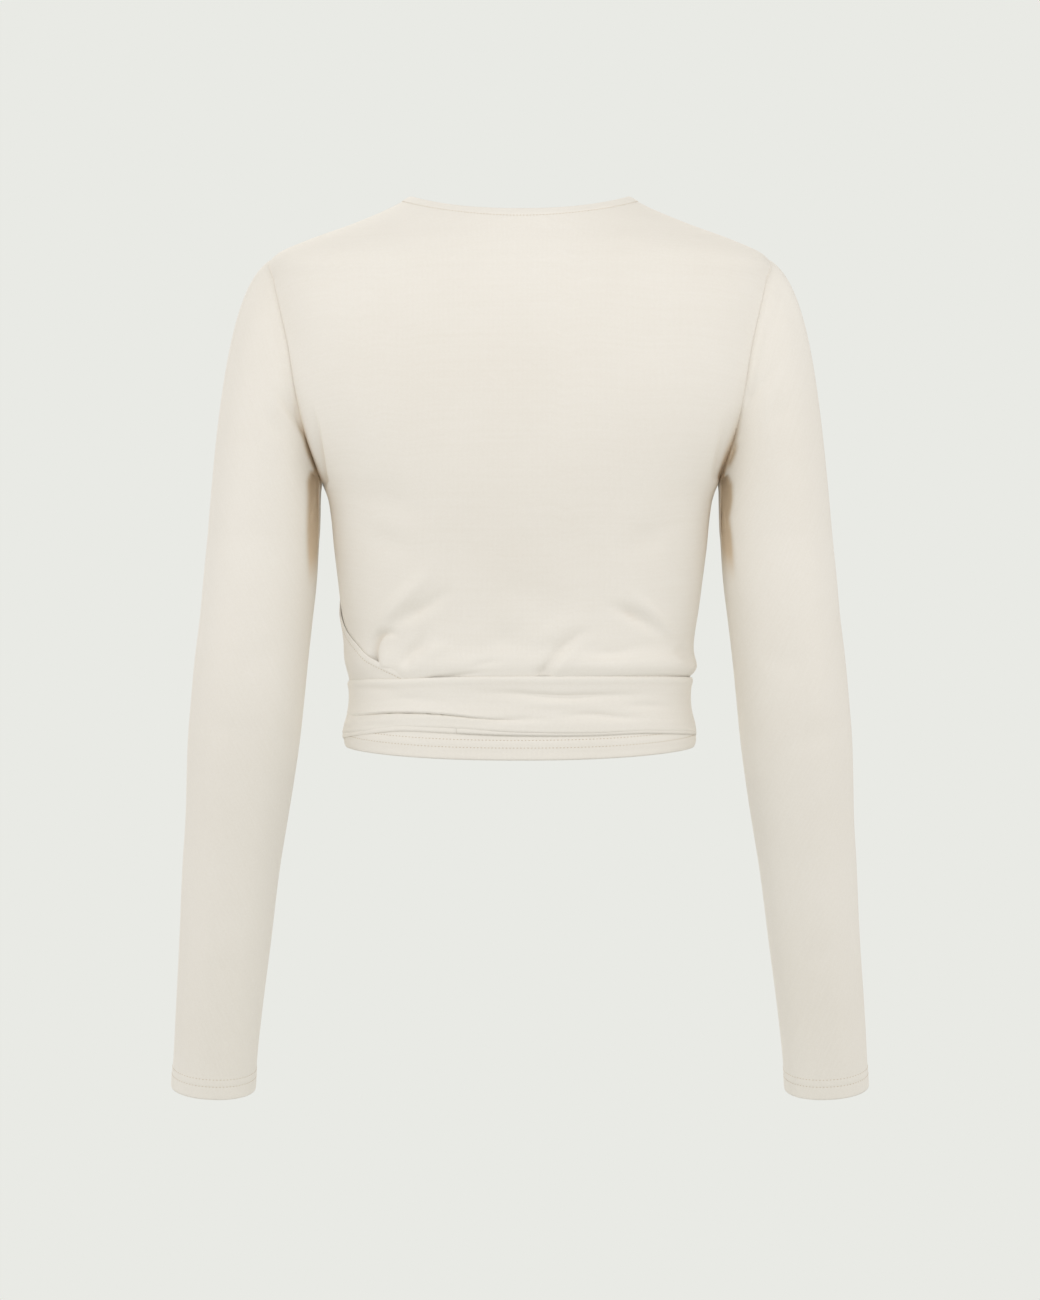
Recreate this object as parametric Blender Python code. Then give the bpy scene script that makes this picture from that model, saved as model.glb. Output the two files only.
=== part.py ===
"""Cropped wrap top in light jersey, worn form with nobody in it. Front faces -Y, wearer's left is +X.

Every cloth piece is a wall lofted on one torso form, or through the rings of a sleeve.
All sizes here are millimetres; the meshes are written in metres.
"""

import math

import bmesh
import bpy
import numpy as np

NAME = "wrap_top"
MM = 0.001
WALL = 1.2  # thickness of the cloth wall
LAYER = 2.8  # one layer's distance over the next
SEAM = 0.3  # clear space at a seam
ROUND = 2.3  # squareness of the torso rings, 2 is an ellipse
SLEEVE_ROUND = 2.1
SHOULDER = -46.0  # level of the shoulder point
UNDERARM = -211.0  # level of the underarm point
NECK_DIP = 12.0  # how far the back neck hangs under the neck points
CUT_BACK = 24.7  # how far the back armhole is cut in, in degrees of the ring
CUT_FRONT = 28.0
INNER_SHORT = 9.0  # how much shorter the inner front is at its covered side
TURN_END = 18.0  # ring angle where the outer front ends and the tie begins
TIE_JOIN = 144.0  # ring angle where the two lengths of the tie meet
KNOT_AT = 203.0  # ring angle of the hitch at the front

# The torso form, one row a ring from the neck down.
# level at the side, half width, depth behind, depth in front, dip behind, dip in front
TORSO = np.array(
    [
        (0, 80, 56, 58, NECK_DIP, 58),
        (-6, 90.5, 60, 62, 10, 54),
        (-20, 123, 68, 70, 7, 44),
        (-32, 156, 75, 76, 4, 36),
        (-42, 178, 80, 81, 2, 28),
        (-46, 182.5, 82, 83, 1, 25),
        (-62, 184.5, 87, 88, 0, 18),
        (-83, 185, 92, 94, 0, 10),
        (-110, 183, 96, 100, 0, 4),
        (-137, 179, 98, 107, 0, 0),
        (-160, 172, 98, 114, 0, 0),
        (-178, 164, 97, 119, 0, 0),
        (-200, 152, 95, 124, 0, 0),
        (-222, 141.5, 92, 127, 0, 0),
        (-234, 139.5, 90, 127, 0, 0),
        (-257, 137.3, 86, 123, 0, 0),
        (-282, 134.3, 82.5, 113, 0, 0),
        (-304, 131.6, 79.5, 103, 0, 0),
        (-327, 128.2, 78, 95, 0, 0),
        (-341, 126.8, 77, 92, 0, 0),
        (-354, 122.3, 72.5, 87.5, 0, 0),
        (-368, 120.3, 70, 85.5, 0, 0),
        (-382, 121.8, 71, 86, 0, 0),
        (-392, 125.6, 73.3, 88, 0, 0),
        (-399, 129.4, 75.5, 89, 2, 1),
        (-404.5, 127.5, 74.5, 88, 6.7, 3),
    ]
)[::-1]

# The crossing neck edge of a front, from its neck point over the far side to the tie.
# share of the hem's columns, ring angle, level
NECK_EDGE = np.array(
    [
        (0.0, 270, 0),
        (0.05, 240, -5),
        (0.09, 221, -13),
        (0.14, 205, -28),
        (0.16, 199.85, -39),
        (0.18, 197.7, -50),
        (0.22, 194.7, -82),
        (0.265, 190.7, -118),
        (0.312, 185.5, -148),
        (0.3571, 180, -172),
        (0.4167, 165, -196),
        (0.4762, 150, -217),
        (0.5357, 135, -239),
        (0.5952, 120, -262),
        (0.6548, 105, -285),
        (0.7143, 90, -304),
        (0.7619, 78, -317.5),
        (0.8095, 66, -328),
        (0.8393, 58.5, -335.5),
        (0.881, 48, -342.3),
        (0.9147, 39.5, -348.3),
        (0.9325, 35, -352.7),
        (0.9643, 27, -356),
        (1.0, 18, -357),
    ]
)

# The waist ties by ring angle: top and bottom of the sash, bottom of the length under it.
TIE_EDGES = np.array(
    [
        (-216, -357.5, -397.5, -400.5),
        (-180, -357.5, -397.5, -400.5),
        (-135, -356, -396.5, -399.5),
        (-90, -353.8, -394.8, -397.1),
        (-60, -351.4, -392.2, -394.6),
        (-40, -350.4, -390.9, -393.2),
        (-20, -349.9, -391.7, -393.9),
        (0, -349.8, -391, -394.2),
        (20, -350.5, -388.5, -391.8),
        (40, -352.3, -388.4, -391.0),
        (60, -353.5, -392, -394.4),
        (90, -356.4, -396.3, -399.3),
        (150, -357.5, -397.5, -400.5),
    ]
)

# The lower edge of the outer front, by ring angle.
FRONT_HEM = np.array(
    [(18, -391.8), (40, -391.0), (60, -394.4), (90, -399.3), (120, -402), (150, -404.5), (270, -404.5)]
)

# The sleeve below the underarm, one row a ring.
# level, outer edge, inner edge, middle front to back, half depth, lean front to back
SLEEVE = np.array(
    [
        (-250, 230, 148.6, 2, 50, 0.02),
        (-282, 233, 150.4, 5, 49, 0.01),
        (-312, 235.6, 153.8, 7, 48, 0.0),
        (-342, 239.3, 157.3, 8, 47, -0.02),
        (-371, 242.2, 160.4, 7, 46, -0.06),
        (-401, 245, 163.8, 4, 44.5, -0.1),
        (-430, 246.4, 168, -0.5, 43, -0.14),
        (-460, 247.6, 172.8, -5.5, 41.2, -0.17),
        (-491, 249.9, 178, -11, 39.5, -0.18),
        (-551, 253.3, 186.2, -21.5, 36.5, -0.185),
        (-612, 257.8, 194.7, -32.3, 33.6, -0.185),
        (-643, 260, 198.2, -37.8, 32.3, -0.185),
        (-663.6, 261.7, 199.4, -41.5, 31.5, -0.185),
    ]
)[::-1]
HEAD_RINGS = (0.0, 0.1, 0.22, 0.36, 0.52, 0.7, 0.86, 1.0)  # shares of the way over the sleeve head
SLEEVE_LEVELS = (-284, -318, -350, -382, -415, -455, -505, -556, -608, -644, -663.6)

# Soft folds of the back: ring angle and level of both ends, width, depth.
FOLDS = (
    (55, -344, 40, -318, 12, 2.4),
    (40, -318, 26, -306, 14, 1.4),
    (-5, -350, -13, -328, 12, 2.2),
    (-13, -328, -22, -316, 14, 1.2),
    (-58, -347, -30, -344, 9, 2.0),
    (62, -160, 70, -214, 12, 2.6),
    (-50, -314, -36, -300, 16, 1.0),
)


def curve(at, xs, ys):
    """Cubic through the rows of a table, each row's slope taken from its neighbours."""
    slope = np.gradient(ys, xs)
    at = np.clip(at, xs[0], xs[-1])
    i = np.clip(np.searchsorted(xs, at) - 1, 0, len(xs) - 2)
    step = xs[i + 1] - xs[i]
    t = (at - xs[i]) / step
    rise = (2 * t**3 - 3 * t**2 + 1) * ys[i] + (3 * t**2 - 2 * t**3) * ys[i + 1]
    bend = (t**3 - 2 * t**2 + t) * slope[i] + (t**3 - t**2) * slope[i + 1]
    return rise + step * bend


def torso_size(level, column):
    return curve(level, TORSO[:, 0], TORSO[:, column])


def smooth(t):
    t = np.clip(t, 0, 1)
    return t * t * (3 - 2 * t)


def fold_depth(angle, level):
    """Troughs along straight lines, deepest on the line and gone one width away."""
    total = np.zeros(np.broadcast(angle, level).shape)
    wrapped = (angle + 180) % 360 - 180
    for a0, z0, a1, z1, width, depth in FOLDS:
        s, s0, s1 = (np.radians(a) * 105 for a in (wrapped, a0, a1))
        length = (s1 - s0) ** 2 + (z1 - z0) ** 2
        t = np.clip(((s - s0) * (s1 - s0) + (level - z0) * (z1 - z0)) / length, 0, 1)
        away = np.hypot(s - s0 - t * (s1 - s0), level - z0 - t * (z1 - z0))
        total += depth * np.exp(-((away / width) ** 2) * 2.5)
    return total


def torso(angle, level):
    """Point on the torso form. Angle 0 is centre back, 90 the left side, 180 centre front."""
    angle, level = np.broadcast_arrays(np.asarray(angle, float), np.asarray(level, float))
    s, c = np.sin(np.radians(angle)), np.cos(np.radians(angle))
    half = torso_size(level, 1)
    deep = np.where(c > 0, torso_size(level, 2), torso_size(level, 3))
    dip = np.where(c > 0, torso_size(level, 4), torso_size(level, 5))
    x = half * np.sign(s) * np.abs(s) ** (2 / ROUND)
    y = deep * np.sign(c) * np.abs(c) ** (2 / ROUND)
    z = level - dip * np.abs(c) ** 1.6
    return np.stack([x, y, z], axis=-1)


def torso_normal(angle, level):
    """Outward direction of the torso form, from steps of half a degree and one millimetre."""
    along = torso(angle + 0.5, level) - torso(angle - 0.5, level)
    up = torso(angle, np.minimum(level + 1, 0)) - torso(angle, np.maximum(level - 1, TORSO[0, 0]))
    n = np.cross(up, along)
    return n / np.linalg.norm(n, axis=-1, keepdims=True)


def lifted(angle, level, out):
    """Point this far off the torso form, along the form's own outward direction."""
    far = torso(angle, level)
    return far + torso_normal(angle, level) * np.broadcast_to(out, far.shape[:-1])[..., None]


def cut_in(level, most, power):
    """Degrees the armhole is cut in at this level: most x (2 sqrt(q (1 - q))) ^ power."""
    q = np.clip((SHOULDER - level) / (SHOULDER - UNDERARM), 0, 1)
    return most * (2 * np.sqrt(q * (1 - q))) ** power


def side_levels(below):
    """Levels of a panel's rows at its side: hem to underarm, round the armhole, along the shoulder."""
    turn = np.radians(np.linspace(180, 0, 9))
    armhole = SHOULDER + (UNDERARM - SHOULDER) * (1 - np.cos(turn)) / 2
    return np.concatenate([below, armhole, (-33.0, -18.0, 0.0)])


def wall_mesh(name, points, normals, closed, colour, thickness=WALL):
    """Wall on a grid of points: its outer face, its inner face and the rims between."""
    rows, cols = points.shape[:2]
    count = rows * cols
    verts = np.concatenate([points + normals * thickness / 2, points - normals * thickness / 2])
    verts = verts.reshape(-1, 3) * MM

    def at(i, j, side):
        return side * count + i * cols + j % cols

    faces = []
    last = cols if closed else cols - 1
    for i in range(rows - 1):
        for j in range(last):
            faces.append((at(i, j, 0), at(i, j + 1, 0), at(i + 1, j + 1, 0), at(i + 1, j, 0)))
            faces.append((at(i, j, 1), at(i + 1, j, 1), at(i + 1, j + 1, 1), at(i, j + 1, 1)))
    end = rows - 1
    for j in range(last):
        faces.append((at(0, j, 0), at(0, j, 1), at(0, j + 1, 1), at(0, j + 1, 0)))
        faces.append((at(end, j, 0), at(end, j + 1, 0), at(end, j + 1, 1), at(end, j, 1)))
    if not closed:
        for i in range(rows - 1):
            faces.append((at(i, 0, 0), at(i + 1, 0, 0), at(i + 1, 0, 1), at(i, 0, 1)))
            near, far = at(i, cols - 1, 1), at(i + 1, cols - 1, 1)
            faces.append((at(i, cols - 1, 0), near, far, at(i + 1, cols - 1, 0)))
    return add_object(name, verts, faces, colour)


def add_object(name, verts, faces, colour):
    mesh = bpy.data.meshes.new(name)
    mesh.from_pydata([tuple(v) for v in verts], [], faces)
    body = bmesh.new()
    body.from_mesh(mesh)
    bmesh.ops.recalc_face_normals(body, faces=body.faces)
    bmesh.ops.triangulate(body, faces=body.faces)
    body.to_mesh(mesh)
    body.free()
    material = bpy.data.materials.new(name + "_cloth")
    material.use_nodes = True
    shader = material.node_tree.nodes["Principled BSDF"]
    shader.inputs["Base Color"].default_value = (*colour, 1)
    shader.inputs["Roughness"].default_value = 0.85
    mesh.materials.append(material)
    made = bpy.data.objects.new(name, mesh)
    home.objects.link(made)
    return made


def make_back():
    below = (-404.5, -398.0, -388.0, -372.0, -356.0, -348.0, -340.0, -326.0, -300.0, -270.0, -240.0)
    levels = side_levels(below)
    share = np.linspace(-1, 1, 21)[None, :]
    level = np.repeat(levels[:, None], share.shape[1], axis=1)
    angle = share * (90 - cut_in(level, CUT_BACK, 1.2))
    points = lifted(angle, level, -fold_depth(angle, level))
    points[..., 1] += SEAM / 2
    wall_mesh("back_panel", points, torso_normal(angle, level), False, (0.80, 0.76, 0.69))


def front_grid(columns, span, far_end):
    """Ring angles and levels of a front sewn at the right side, hem row first."""
    levels = side_levels((-404.5, -394.0, -378.0, -358.0, -342.0, -318.0, -285.0, -248.0))
    rise = (levels - levels[0]) / (levels[-1] - levels[0])
    u = np.linspace(0, 1, columns + 1) * span
    low_angle = 270 - u * (270 - TURN_END)
    if far_end < 90:
        low = curve(low_angle, FRONT_HEM[:, 0], FRONT_HEM[:, 1])
    else:
        low = -404.5 + INNER_SHORT * smooth((150 - low_angle) / 50)
    top = curve(u, NECK_EDGE[:, 0], NECK_EDGE[:, 2])
    level = low[None, :] + (top - low)[None, :] * rise[:, None]
    side = 270 - cut_in(level, CUT_FRONT, 1.1)
    # the neck edge at each level: its ring angle, and the share of the column that ends there
    fine = np.linspace(1, 0, 2001)
    fine_level = curve(fine, NECK_EDGE[:, 0], NECK_EDGE[:, 2])
    edge_angle = np.interp(level, fine_level, np.interp(fine, NECK_EDGE[:, 0], NECK_EDGE[:, 1]))
    edge_share = np.maximum(np.interp(level, fine_level, fine), 1e-6)
    across = u[None, :] / np.minimum(edge_share, span)
    return side - (side - np.maximum(edge_angle, far_end)) * across, level


def make_fronts():
    angle, level = front_grid(28, 1.0, TURN_END)
    over = LAYER * smooth((140 - angle) / 50)
    points = lifted(angle, level, over)
    points[..., 1] -= SEAM / 2
    wall_mesh("front_right", points, torso_normal(angle, level), False, (0.82, 0.78, 0.71))
    angle, level = front_grid(20, 180 / (270 - TURN_END), 91.0)
    at_side = 270 - cut_in(level, CUT_FRONT, 1.1)
    under = -LAYER * smooth((at_side - angle) / 50) * smooth((-95 - level) / 60)
    points = lifted(angle, level, under)
    points[..., 0] *= -1
    points[..., 1] -= SEAM / 2
    normals = torso_normal(angle, level)
    normals[..., 0] *= -1
    wall_mesh("front_left", points, normals, False, (0.78, 0.74, 0.67))


def sleeve_ring(turn, level):
    """Sleeve section round a level. Turn 0 is the outer edge, 90 the back, 180 the inner edge."""
    outer, inner, middle, deep, lean = (curve(level, SLEEVE[:, 0], SLEEVE[:, k]) for k in range(1, 6))
    s, c = np.sin(np.radians(turn)), np.cos(np.radians(turn))
    half = (outer - inner) / 2
    x = (outer + inner) / 2 + half * np.sign(c) * np.abs(c) ** (2 / SLEEVE_ROUND)
    y = deep * np.sign(s) * np.abs(s) ** (2 / SLEEVE_ROUND)
    z = level + lean * y + 0.05 * (x - (outer + inner) / 2)
    return np.stack([x, middle + y, z], axis=-1)


def armhole_loop(turn):
    """The armhole's points and wall directions, turn 0 at the shoulder point and 90 at the back."""
    level = SHOULDER + (UNDERARM - SHOULDER) * (1 - np.cos(np.radians(turn))) / 2
    behind = np.sin(np.radians(turn)) >= 0
    back_angle = 90 - cut_in(level, CUT_BACK, 1.2)
    front_angle = 90 + cut_in(level, CUT_FRONT, 1.1)
    angle = np.where(behind, back_angle, front_angle)
    points, normals = torso(angle, level), torso_normal(angle, level)
    points[..., 1] += np.sin(np.radians(turn)) * SEAM / 2
    along = np.roll(points, -1, axis=0) - np.roll(points, 1, axis=0)
    outward = np.cross(normals, along)
    outward /= np.linalg.norm(outward, axis=-1, keepdims=True)
    outward *= np.sign(outward[:, :1] + 1e-9)
    return points + outward * SEAM * 1.3, normals


def make_sleeve(name, side, colour):
    turn = np.arange(16) * 22.5
    start, start_normals = armhole_loop(turn)
    end = sleeve_ring(turn, np.full(16, SLEEVE[-1, 0]))
    high = np.cos(np.radians(turn / 2)) ** 2
    puff = 8 * np.sin(np.radians(turn)) * (1 - np.abs(np.cos(np.radians(turn))))
    leave = np.stack([4.5 + 23.5 * high, puff, -(1 + 13 * high)], axis=-1)
    arrive = np.stack([-1 - 7 * high, np.zeros(16), 10 + 90 * high], axis=-1)
    rings = []
    for t in HEAD_RINGS:
        a, b, c, d = (1 - t) ** 3, 3 * t * (1 - t) ** 2, 3 * t * t * (1 - t), t**3
        rings.append(a * start + b * (start + leave) + c * (end + arrive) + d * end)
    rings += [sleeve_ring(turn, np.full(16, float(level))) for level in SLEEVE_LEVELS]
    points = np.array(rings)
    around = np.roll(points, -1, axis=1) - np.roll(points, 1, axis=1)
    normals = np.cross(around, np.gradient(points, axis=0))
    normals /= np.linalg.norm(normals, axis=-1, keepdims=True)
    from_middle = points - points.mean(axis=1, keepdims=True)
    facing_out = (from_middle * normals).sum(-1, keepdims=True).mean(axis=1, keepdims=True)
    normals *= np.sign(facing_out)
    normals[0] = start_normals
    points[..., 0] *= side
    normals[..., 0] *= side
    wall_mesh(name, points, normals, True, colour)


def make_ties():
    first = np.linspace(TURN_END, TIE_JOIN - 360, 27)
    first[0] -= 0.16
    top = curve(first, TIE_EDGES[:, 0], TIE_EDGES[:, 1]) - 4.0
    top = np.where(first > 0, np.minimum(top, -357.0), top)
    low = curve(first, TIE_EDGES[:, 0], TIE_EDGES[:, 3])
    level = low + (top - low) * np.linspace(0, 1, 5)[:, None]
    angle = np.broadcast_to(first, level.shape)
    points = lifted(angle, level, LAYER)
    wall_mesh("tie_under", points, torso_normal(angle, level), False, (0.84, 0.80, 0.73))
    second = np.linspace(TIE_JOIN, -162, 35)
    second[0] -= 0.16
    top = curve(second, TIE_EDGES[:, 0], TIE_EDGES[:, 1])
    low = curve(second, TIE_EDGES[:, 0], TIE_EDGES[:, 2])
    level = low + (top - low) * np.array([0, 0.24, 0.42, 0.5, 0.62, 1.0])[:, None]
    angle = np.broadcast_to(second, level.shape)
    over = LAYER + LAYER * smooth((140 - second) / 50)
    behind = smooth((95 - second) / 20) * smooth((second + 5) / 30)
    swell = np.array([0.2, 1.0, 0.9, -0.2, 0.9, 0.0])[:, None] * behind
    points = lifted(angle, level, over + swell)
    wall_mesh("tie_sash", points, torso_normal(angle, level), False, (0.86, 0.82, 0.75))


def make_knot():
    """The hitch, a soft cushion over the ties, and the short end that hangs from it."""
    spot = lifted(np.array(KNOT_AT), np.array(-377.0), 2 * LAYER)
    facing = torso_normal(np.array(KNOT_AT), np.array(-377.0))
    facing[2] = 0
    facing /= np.linalg.norm(facing)
    sideways = np.cross(facing, (0, 0, 1.0))
    ball = bmesh.new()
    bmesh.ops.create_uvsphere(ball, u_segments=12, v_segments=7, radius=1.0)
    half = np.array([17.0, 6.0, 25.0])
    for v in ball.verts:
        p = np.array(v.co)
        p = np.sign(p) * np.abs(p) ** 0.8
        out = WALL / 2 + 3.4 + half[1] + p[1] * half[1]
        aside = p[0] * half[0] * (1 - 0.25 * (1 - abs(p[2])))
        v.co = (spot + facing * out + sideways * aside + np.array([0, 0, p[2] * half[2]])) * MM
    mesh = bpy.data.meshes.new("knot_form")
    ball.to_mesh(mesh)
    ball.free()
    verts = [tuple(v.co) for v in mesh.vertices]
    faces = [tuple(p.vertices) for p in mesh.polygons]
    bpy.data.meshes.remove(mesh)
    add_object("tie_knot", verts, faces, (0.85, 0.81, 0.74))
    down = np.linspace(0, 1, 6)[:, None]
    across = np.linspace(-1, 1, 5)[None, :]
    wide = 12 + 7 * smooth(down * 1.4)
    start = spot + facing * 6.0 + np.array([0, 0, -26.0])
    crown = 3.2 * (1 - across**2) * (1 - down) + 2.5 * np.sin(down * math.pi)
    points = start + sideways * (wide * across + 6 * down)[..., None] + facing * crown[..., None]
    points[..., 2] -= 14 * down
    normals = np.broadcast_to(facing, points.shape).copy()
    wall_mesh("tie_tail", points, normals, False, (0.84, 0.80, 0.73), 2.4)


for old in list(bpy.data.objects):
    bpy.data.objects.remove(old, do_unlink=True)
home = bpy.data.collections.new(NAME)
bpy.context.scene.collection.children.link(home)
make_back()
make_fronts()
make_sleeve("sleeve_left", 1, (0.81, 0.77, 0.70))
make_sleeve("sleeve_right", -1, (0.81, 0.77, 0.70))
make_ties()
make_knot()
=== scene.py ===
import math

import bmesh
import bpy
import numpy as np
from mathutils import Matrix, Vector


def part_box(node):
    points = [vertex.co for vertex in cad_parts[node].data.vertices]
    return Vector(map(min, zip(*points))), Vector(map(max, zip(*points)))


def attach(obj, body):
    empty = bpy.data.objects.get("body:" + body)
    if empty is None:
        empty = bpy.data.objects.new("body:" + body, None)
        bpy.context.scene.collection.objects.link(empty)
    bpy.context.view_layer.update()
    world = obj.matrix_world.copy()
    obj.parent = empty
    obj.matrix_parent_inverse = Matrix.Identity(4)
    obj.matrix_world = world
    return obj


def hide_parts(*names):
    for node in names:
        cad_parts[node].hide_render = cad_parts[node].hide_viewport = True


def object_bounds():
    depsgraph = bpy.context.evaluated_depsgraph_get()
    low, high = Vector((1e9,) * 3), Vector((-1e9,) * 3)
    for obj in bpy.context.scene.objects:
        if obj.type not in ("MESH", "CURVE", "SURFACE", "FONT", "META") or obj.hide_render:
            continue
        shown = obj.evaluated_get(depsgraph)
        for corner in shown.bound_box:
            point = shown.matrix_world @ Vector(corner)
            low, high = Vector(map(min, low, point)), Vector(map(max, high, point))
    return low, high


patternHeight = 670.3  # of the whole top, in pattern millimetres
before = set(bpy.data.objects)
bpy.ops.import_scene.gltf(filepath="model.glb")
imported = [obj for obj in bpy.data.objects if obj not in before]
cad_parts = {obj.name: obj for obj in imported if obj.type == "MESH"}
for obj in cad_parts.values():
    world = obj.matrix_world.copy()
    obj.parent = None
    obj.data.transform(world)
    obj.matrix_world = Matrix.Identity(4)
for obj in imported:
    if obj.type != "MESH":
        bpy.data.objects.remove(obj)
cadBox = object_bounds()
cadLow, cadHigh = np.array(cadBox[0]), np.array(cadBox[1])
mm = (cadHigh[2] - cadLow[2]) / patternHeight  # one pattern millimetre at the frame's size
print("frame loaded, one pattern millimetre is", round(mm * 1000, 4), "mm")

# the form that all the torso pieces lie on, as in the frame's solids
form = {
    "round": 2.3,  # squareness of the rings, 2 is an ellipse
    "dipCurve": 1.6,  # how a ring dips towards its middle
    "sleeveRound": 2.12,
    "shoulder": -46.0,  # level of the shoulder point
    "underarm": -211.0,
    "cutBack": (24.7, 1.2),  # degrees the armhole is cut in behind, and its fullness
    "cutFront": (28.0, 1.1),
    "hem": -404.5,
    "layer": 1.9,  # one cloth over the next
    "sashStep": 1.4,  # the tied length over the one below it
    "cloth": 0.9,  # thickness of the jersey
    "sashCloth": 1.1,
    "tailCloth": 1.6,
    "seamGap": 0.12,
    "seamEase": 5,  # width beside a seam where creases fade in
    "turnEnd": 18.0,  # ring angle where the outer front becomes the tie
    "tieJoin": 144.0,
    "tieTurn": (3.4, 0.1, 0.7),  # turned low edge of the ties: width, groove, roll
    "tieTuck": 0.6,
}

# level at the side, half width, depth behind, depth in front, dip behind, dip in front
torsoRows = np.array(
    [
        (0, 80, 56, 58, 12, 58),
        (-6, 90.5, 60, 62, 10, 54),
        (-20, 123, 68, 70, 7, 44),
        (-32, 156, 75, 76, 4, 36),
        (-42, 178, 80, 81, 2, 28),
        (-46, 182.5, 82, 83, 1, 25),
        (-62, 184.5, 87, 88, 0, 18),
        (-83, 185, 92, 94, 0, 10),
        (-110, 183, 96, 100, 0, 4),
        (-137, 179, 98, 107, 0, 0),
        (-160, 172, 98, 114, 0, 0),
        (-178, 164, 97, 119, 0, 0),
        (-200, 152, 95, 124, 0, 0),
        (-222, 141.5, 92, 127, 0, 0),
        (-234, 139.5, 90, 127, 0, 0),
        (-257, 137.3, 86, 123, 0, 0),
        (-282, 134.3, 82.5, 113, 0, 0),
        (-304, 131.6, 79.5, 103, 0, 0),
        (-327, 128.2, 78, 95, 0, 0),
        (-341, 127.4, 77.5, 92.5, 0, 0),
        (-354, 124.2, 74.5, 89.5, 0, 0),
        (-368, 122.7, 72.6, 88.0, 0, 0),
        (-382, 124.2, 73.4, 88.4, 0, 0),
        (-392, 127.2, 74.8, 89.4, 0, 0),
        (-399, 129.4, 75.5, 89, 2, 1),
        (-404.5, 127.5, 74.5, 88, 6.7, 3),
    ]
)[::-1]

# the crossing neck edge of a front: ring angle, level, share of the hem it stands over
neckEdge = np.array(
    [
        (270, 0, 0.0),
        (240, -5, 0.05),
        (221, -13, 0.09),
        (205, -28, 0.14),
        (199.85, -39, 0.16),
        (197.7, -50, 0.18),
        (194.7, -82, 0.22),
        (190.7, -118, 0.265),
        (185.5, -148, 0.312),
        (180, -172, 0.3571),
        (165, -196, 0.4167),
        (150, -217, 0.4762),
        (135, -239, 0.5357),
        (120, -262, 0.5952),
        (105, -285, 0.6548),
        (90, -304, 0.7143),
        (78, -317.5, 0.7619),
        (66, -328, 0.8095),
        (58.5, -335.5, 0.8393),
        (48, -342.3, 0.881),
        (39.5, -348.3, 0.9147),
        (35, -352.7, 0.9325),
        (27, -356, 0.9643),
        (18, -357, 1.0),
    ]
)

# the ties by ring angle: sash top, sash bottom, bottom of the length under it
tieEdges = np.array(
    [
        (-216, -357.5, -397.5, -400.5),
        (-180, -357.5, -397.5, -400.5),
        (-135, -356, -396.5, -399.5),
        (-90, -353.8, -394.8, -397.1),
        (-60, -351.4, -392.2, -394.2),
        (-40, -350.4, -390.9, -392.8),
        (-20, -349.9, -391.7, -393.6),
        (0, -349.8, -391, -393.3),
        (20, -350.5, -388.5, -391.8),
        (40, -352.3, -388.4, -391.0),
        (60, -353.5, -392, -394.4),
        (90, -356.4, -396.3, -399.3),
        (150, -357.5, -397.5, -400.5),
    ]
)
frontHem = np.array(
    [
        (18, -391.8),
        (40, -391),
        (60, -394.4),
        (90, -399.3),
        (120, -402),
        (150, -404.5),
        (270, -404.5),
    ]
)

# level, outer edge, inner edge, middle front to back, half depth, lean front to back
sleeveRows = np.array(
    [
        (-250, 230, 148.6, 2, 50, 0.02),
        (-282, 233, 150.4, 5, 49, 0.01),
        (-312, 235.6, 153.8, 7, 48, 0.0),
        (-342, 239.3, 157.3, 8, 47, -0.02),
        (-371, 242.2, 160.4, 7, 46, -0.06),
        (-401, 245, 163.8, 4, 44.5, -0.1),
        (-430, 246.4, 168, -0.5, 43, -0.14),
        (-460, 247.6, 172.8, -5.5, 41.2, -0.17),
        (-491, 249.9, 178, -11, 39.5, -0.18),
        (-551, 253.3, 186.2, -21.5, 36.5, -0.185),
        (-612, 257.8, 194.7, -32.3, 33.6, -0.185),
        (-643, 260, 198.2, -37.8, 32.3, -0.185),
        (-663.6, 261.7, 199.4, -41.5, 31.5, -0.185),
    ]
)[::-1]


def smooth(t):
    # eases from 0 to 1: 3 t^2 - 2 t^3
    t = np.clip(t, 0, 1)
    return t * t * (3 - 2 * t)


def bump(d, width):
    # bell curve, 1 in the middle: e^-(d/width)^2
    return np.exp(-((d / width) ** 2))


def curve(at, xs, ys):
    # cubic through a table's rows, each row's slope taken from its neighbours
    slope = np.gradient(ys, xs)
    at = np.clip(at, xs[0], xs[-1])
    i = np.clip(np.searchsorted(xs, at) - 1, 0, len(xs) - 2)
    step = xs[i + 1] - xs[i]
    t = (at - xs[i]) / step
    rise = (2 * t**3 - 3 * t**2 + 1) * ys[i] + (3 * t**2 - 2 * t**3) * ys[i + 1]
    return rise + step * ((t**3 - 2 * t**2 + t) * slope[i] + (t**3 - t**2) * slope[i + 1])


def columnsAt(rows, at):
    # each column of a table as a curve over its first column
    return [curve(at, rows[:, 0], rows[:, k]) for k in range(1, rows.shape[1])]


def unit(v):
    # the same direction at length 1: v / |v|
    return v / np.maximum(np.linalg.norm(v, axis=-1, keepdims=True), 1e-9)


def torso(angle, level):
    # ring: x = half |sin|^(2/round), y = depth |cos|^(2/round), z = level - dip |cos|^dipCurve
    angle, level = np.broadcast_arrays(np.asarray(angle, float), np.asarray(level, float))
    s, c = np.sin(np.radians(angle)), np.cos(np.radians(angle))
    half, back, front, dipBack, dipFront = columnsAt(torsoRows, level)
    x = half * np.sign(s) * np.abs(s) ** (2 / form["round"])
    y = np.where(c > 0, back, front) * np.sign(c) * np.abs(c) ** (2 / form["round"])
    dip = np.where(c > 0, dipBack, dipFront) * np.abs(c) ** form["dipCurve"]
    return np.stack([x, y, level - dip], axis=-1)


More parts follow.
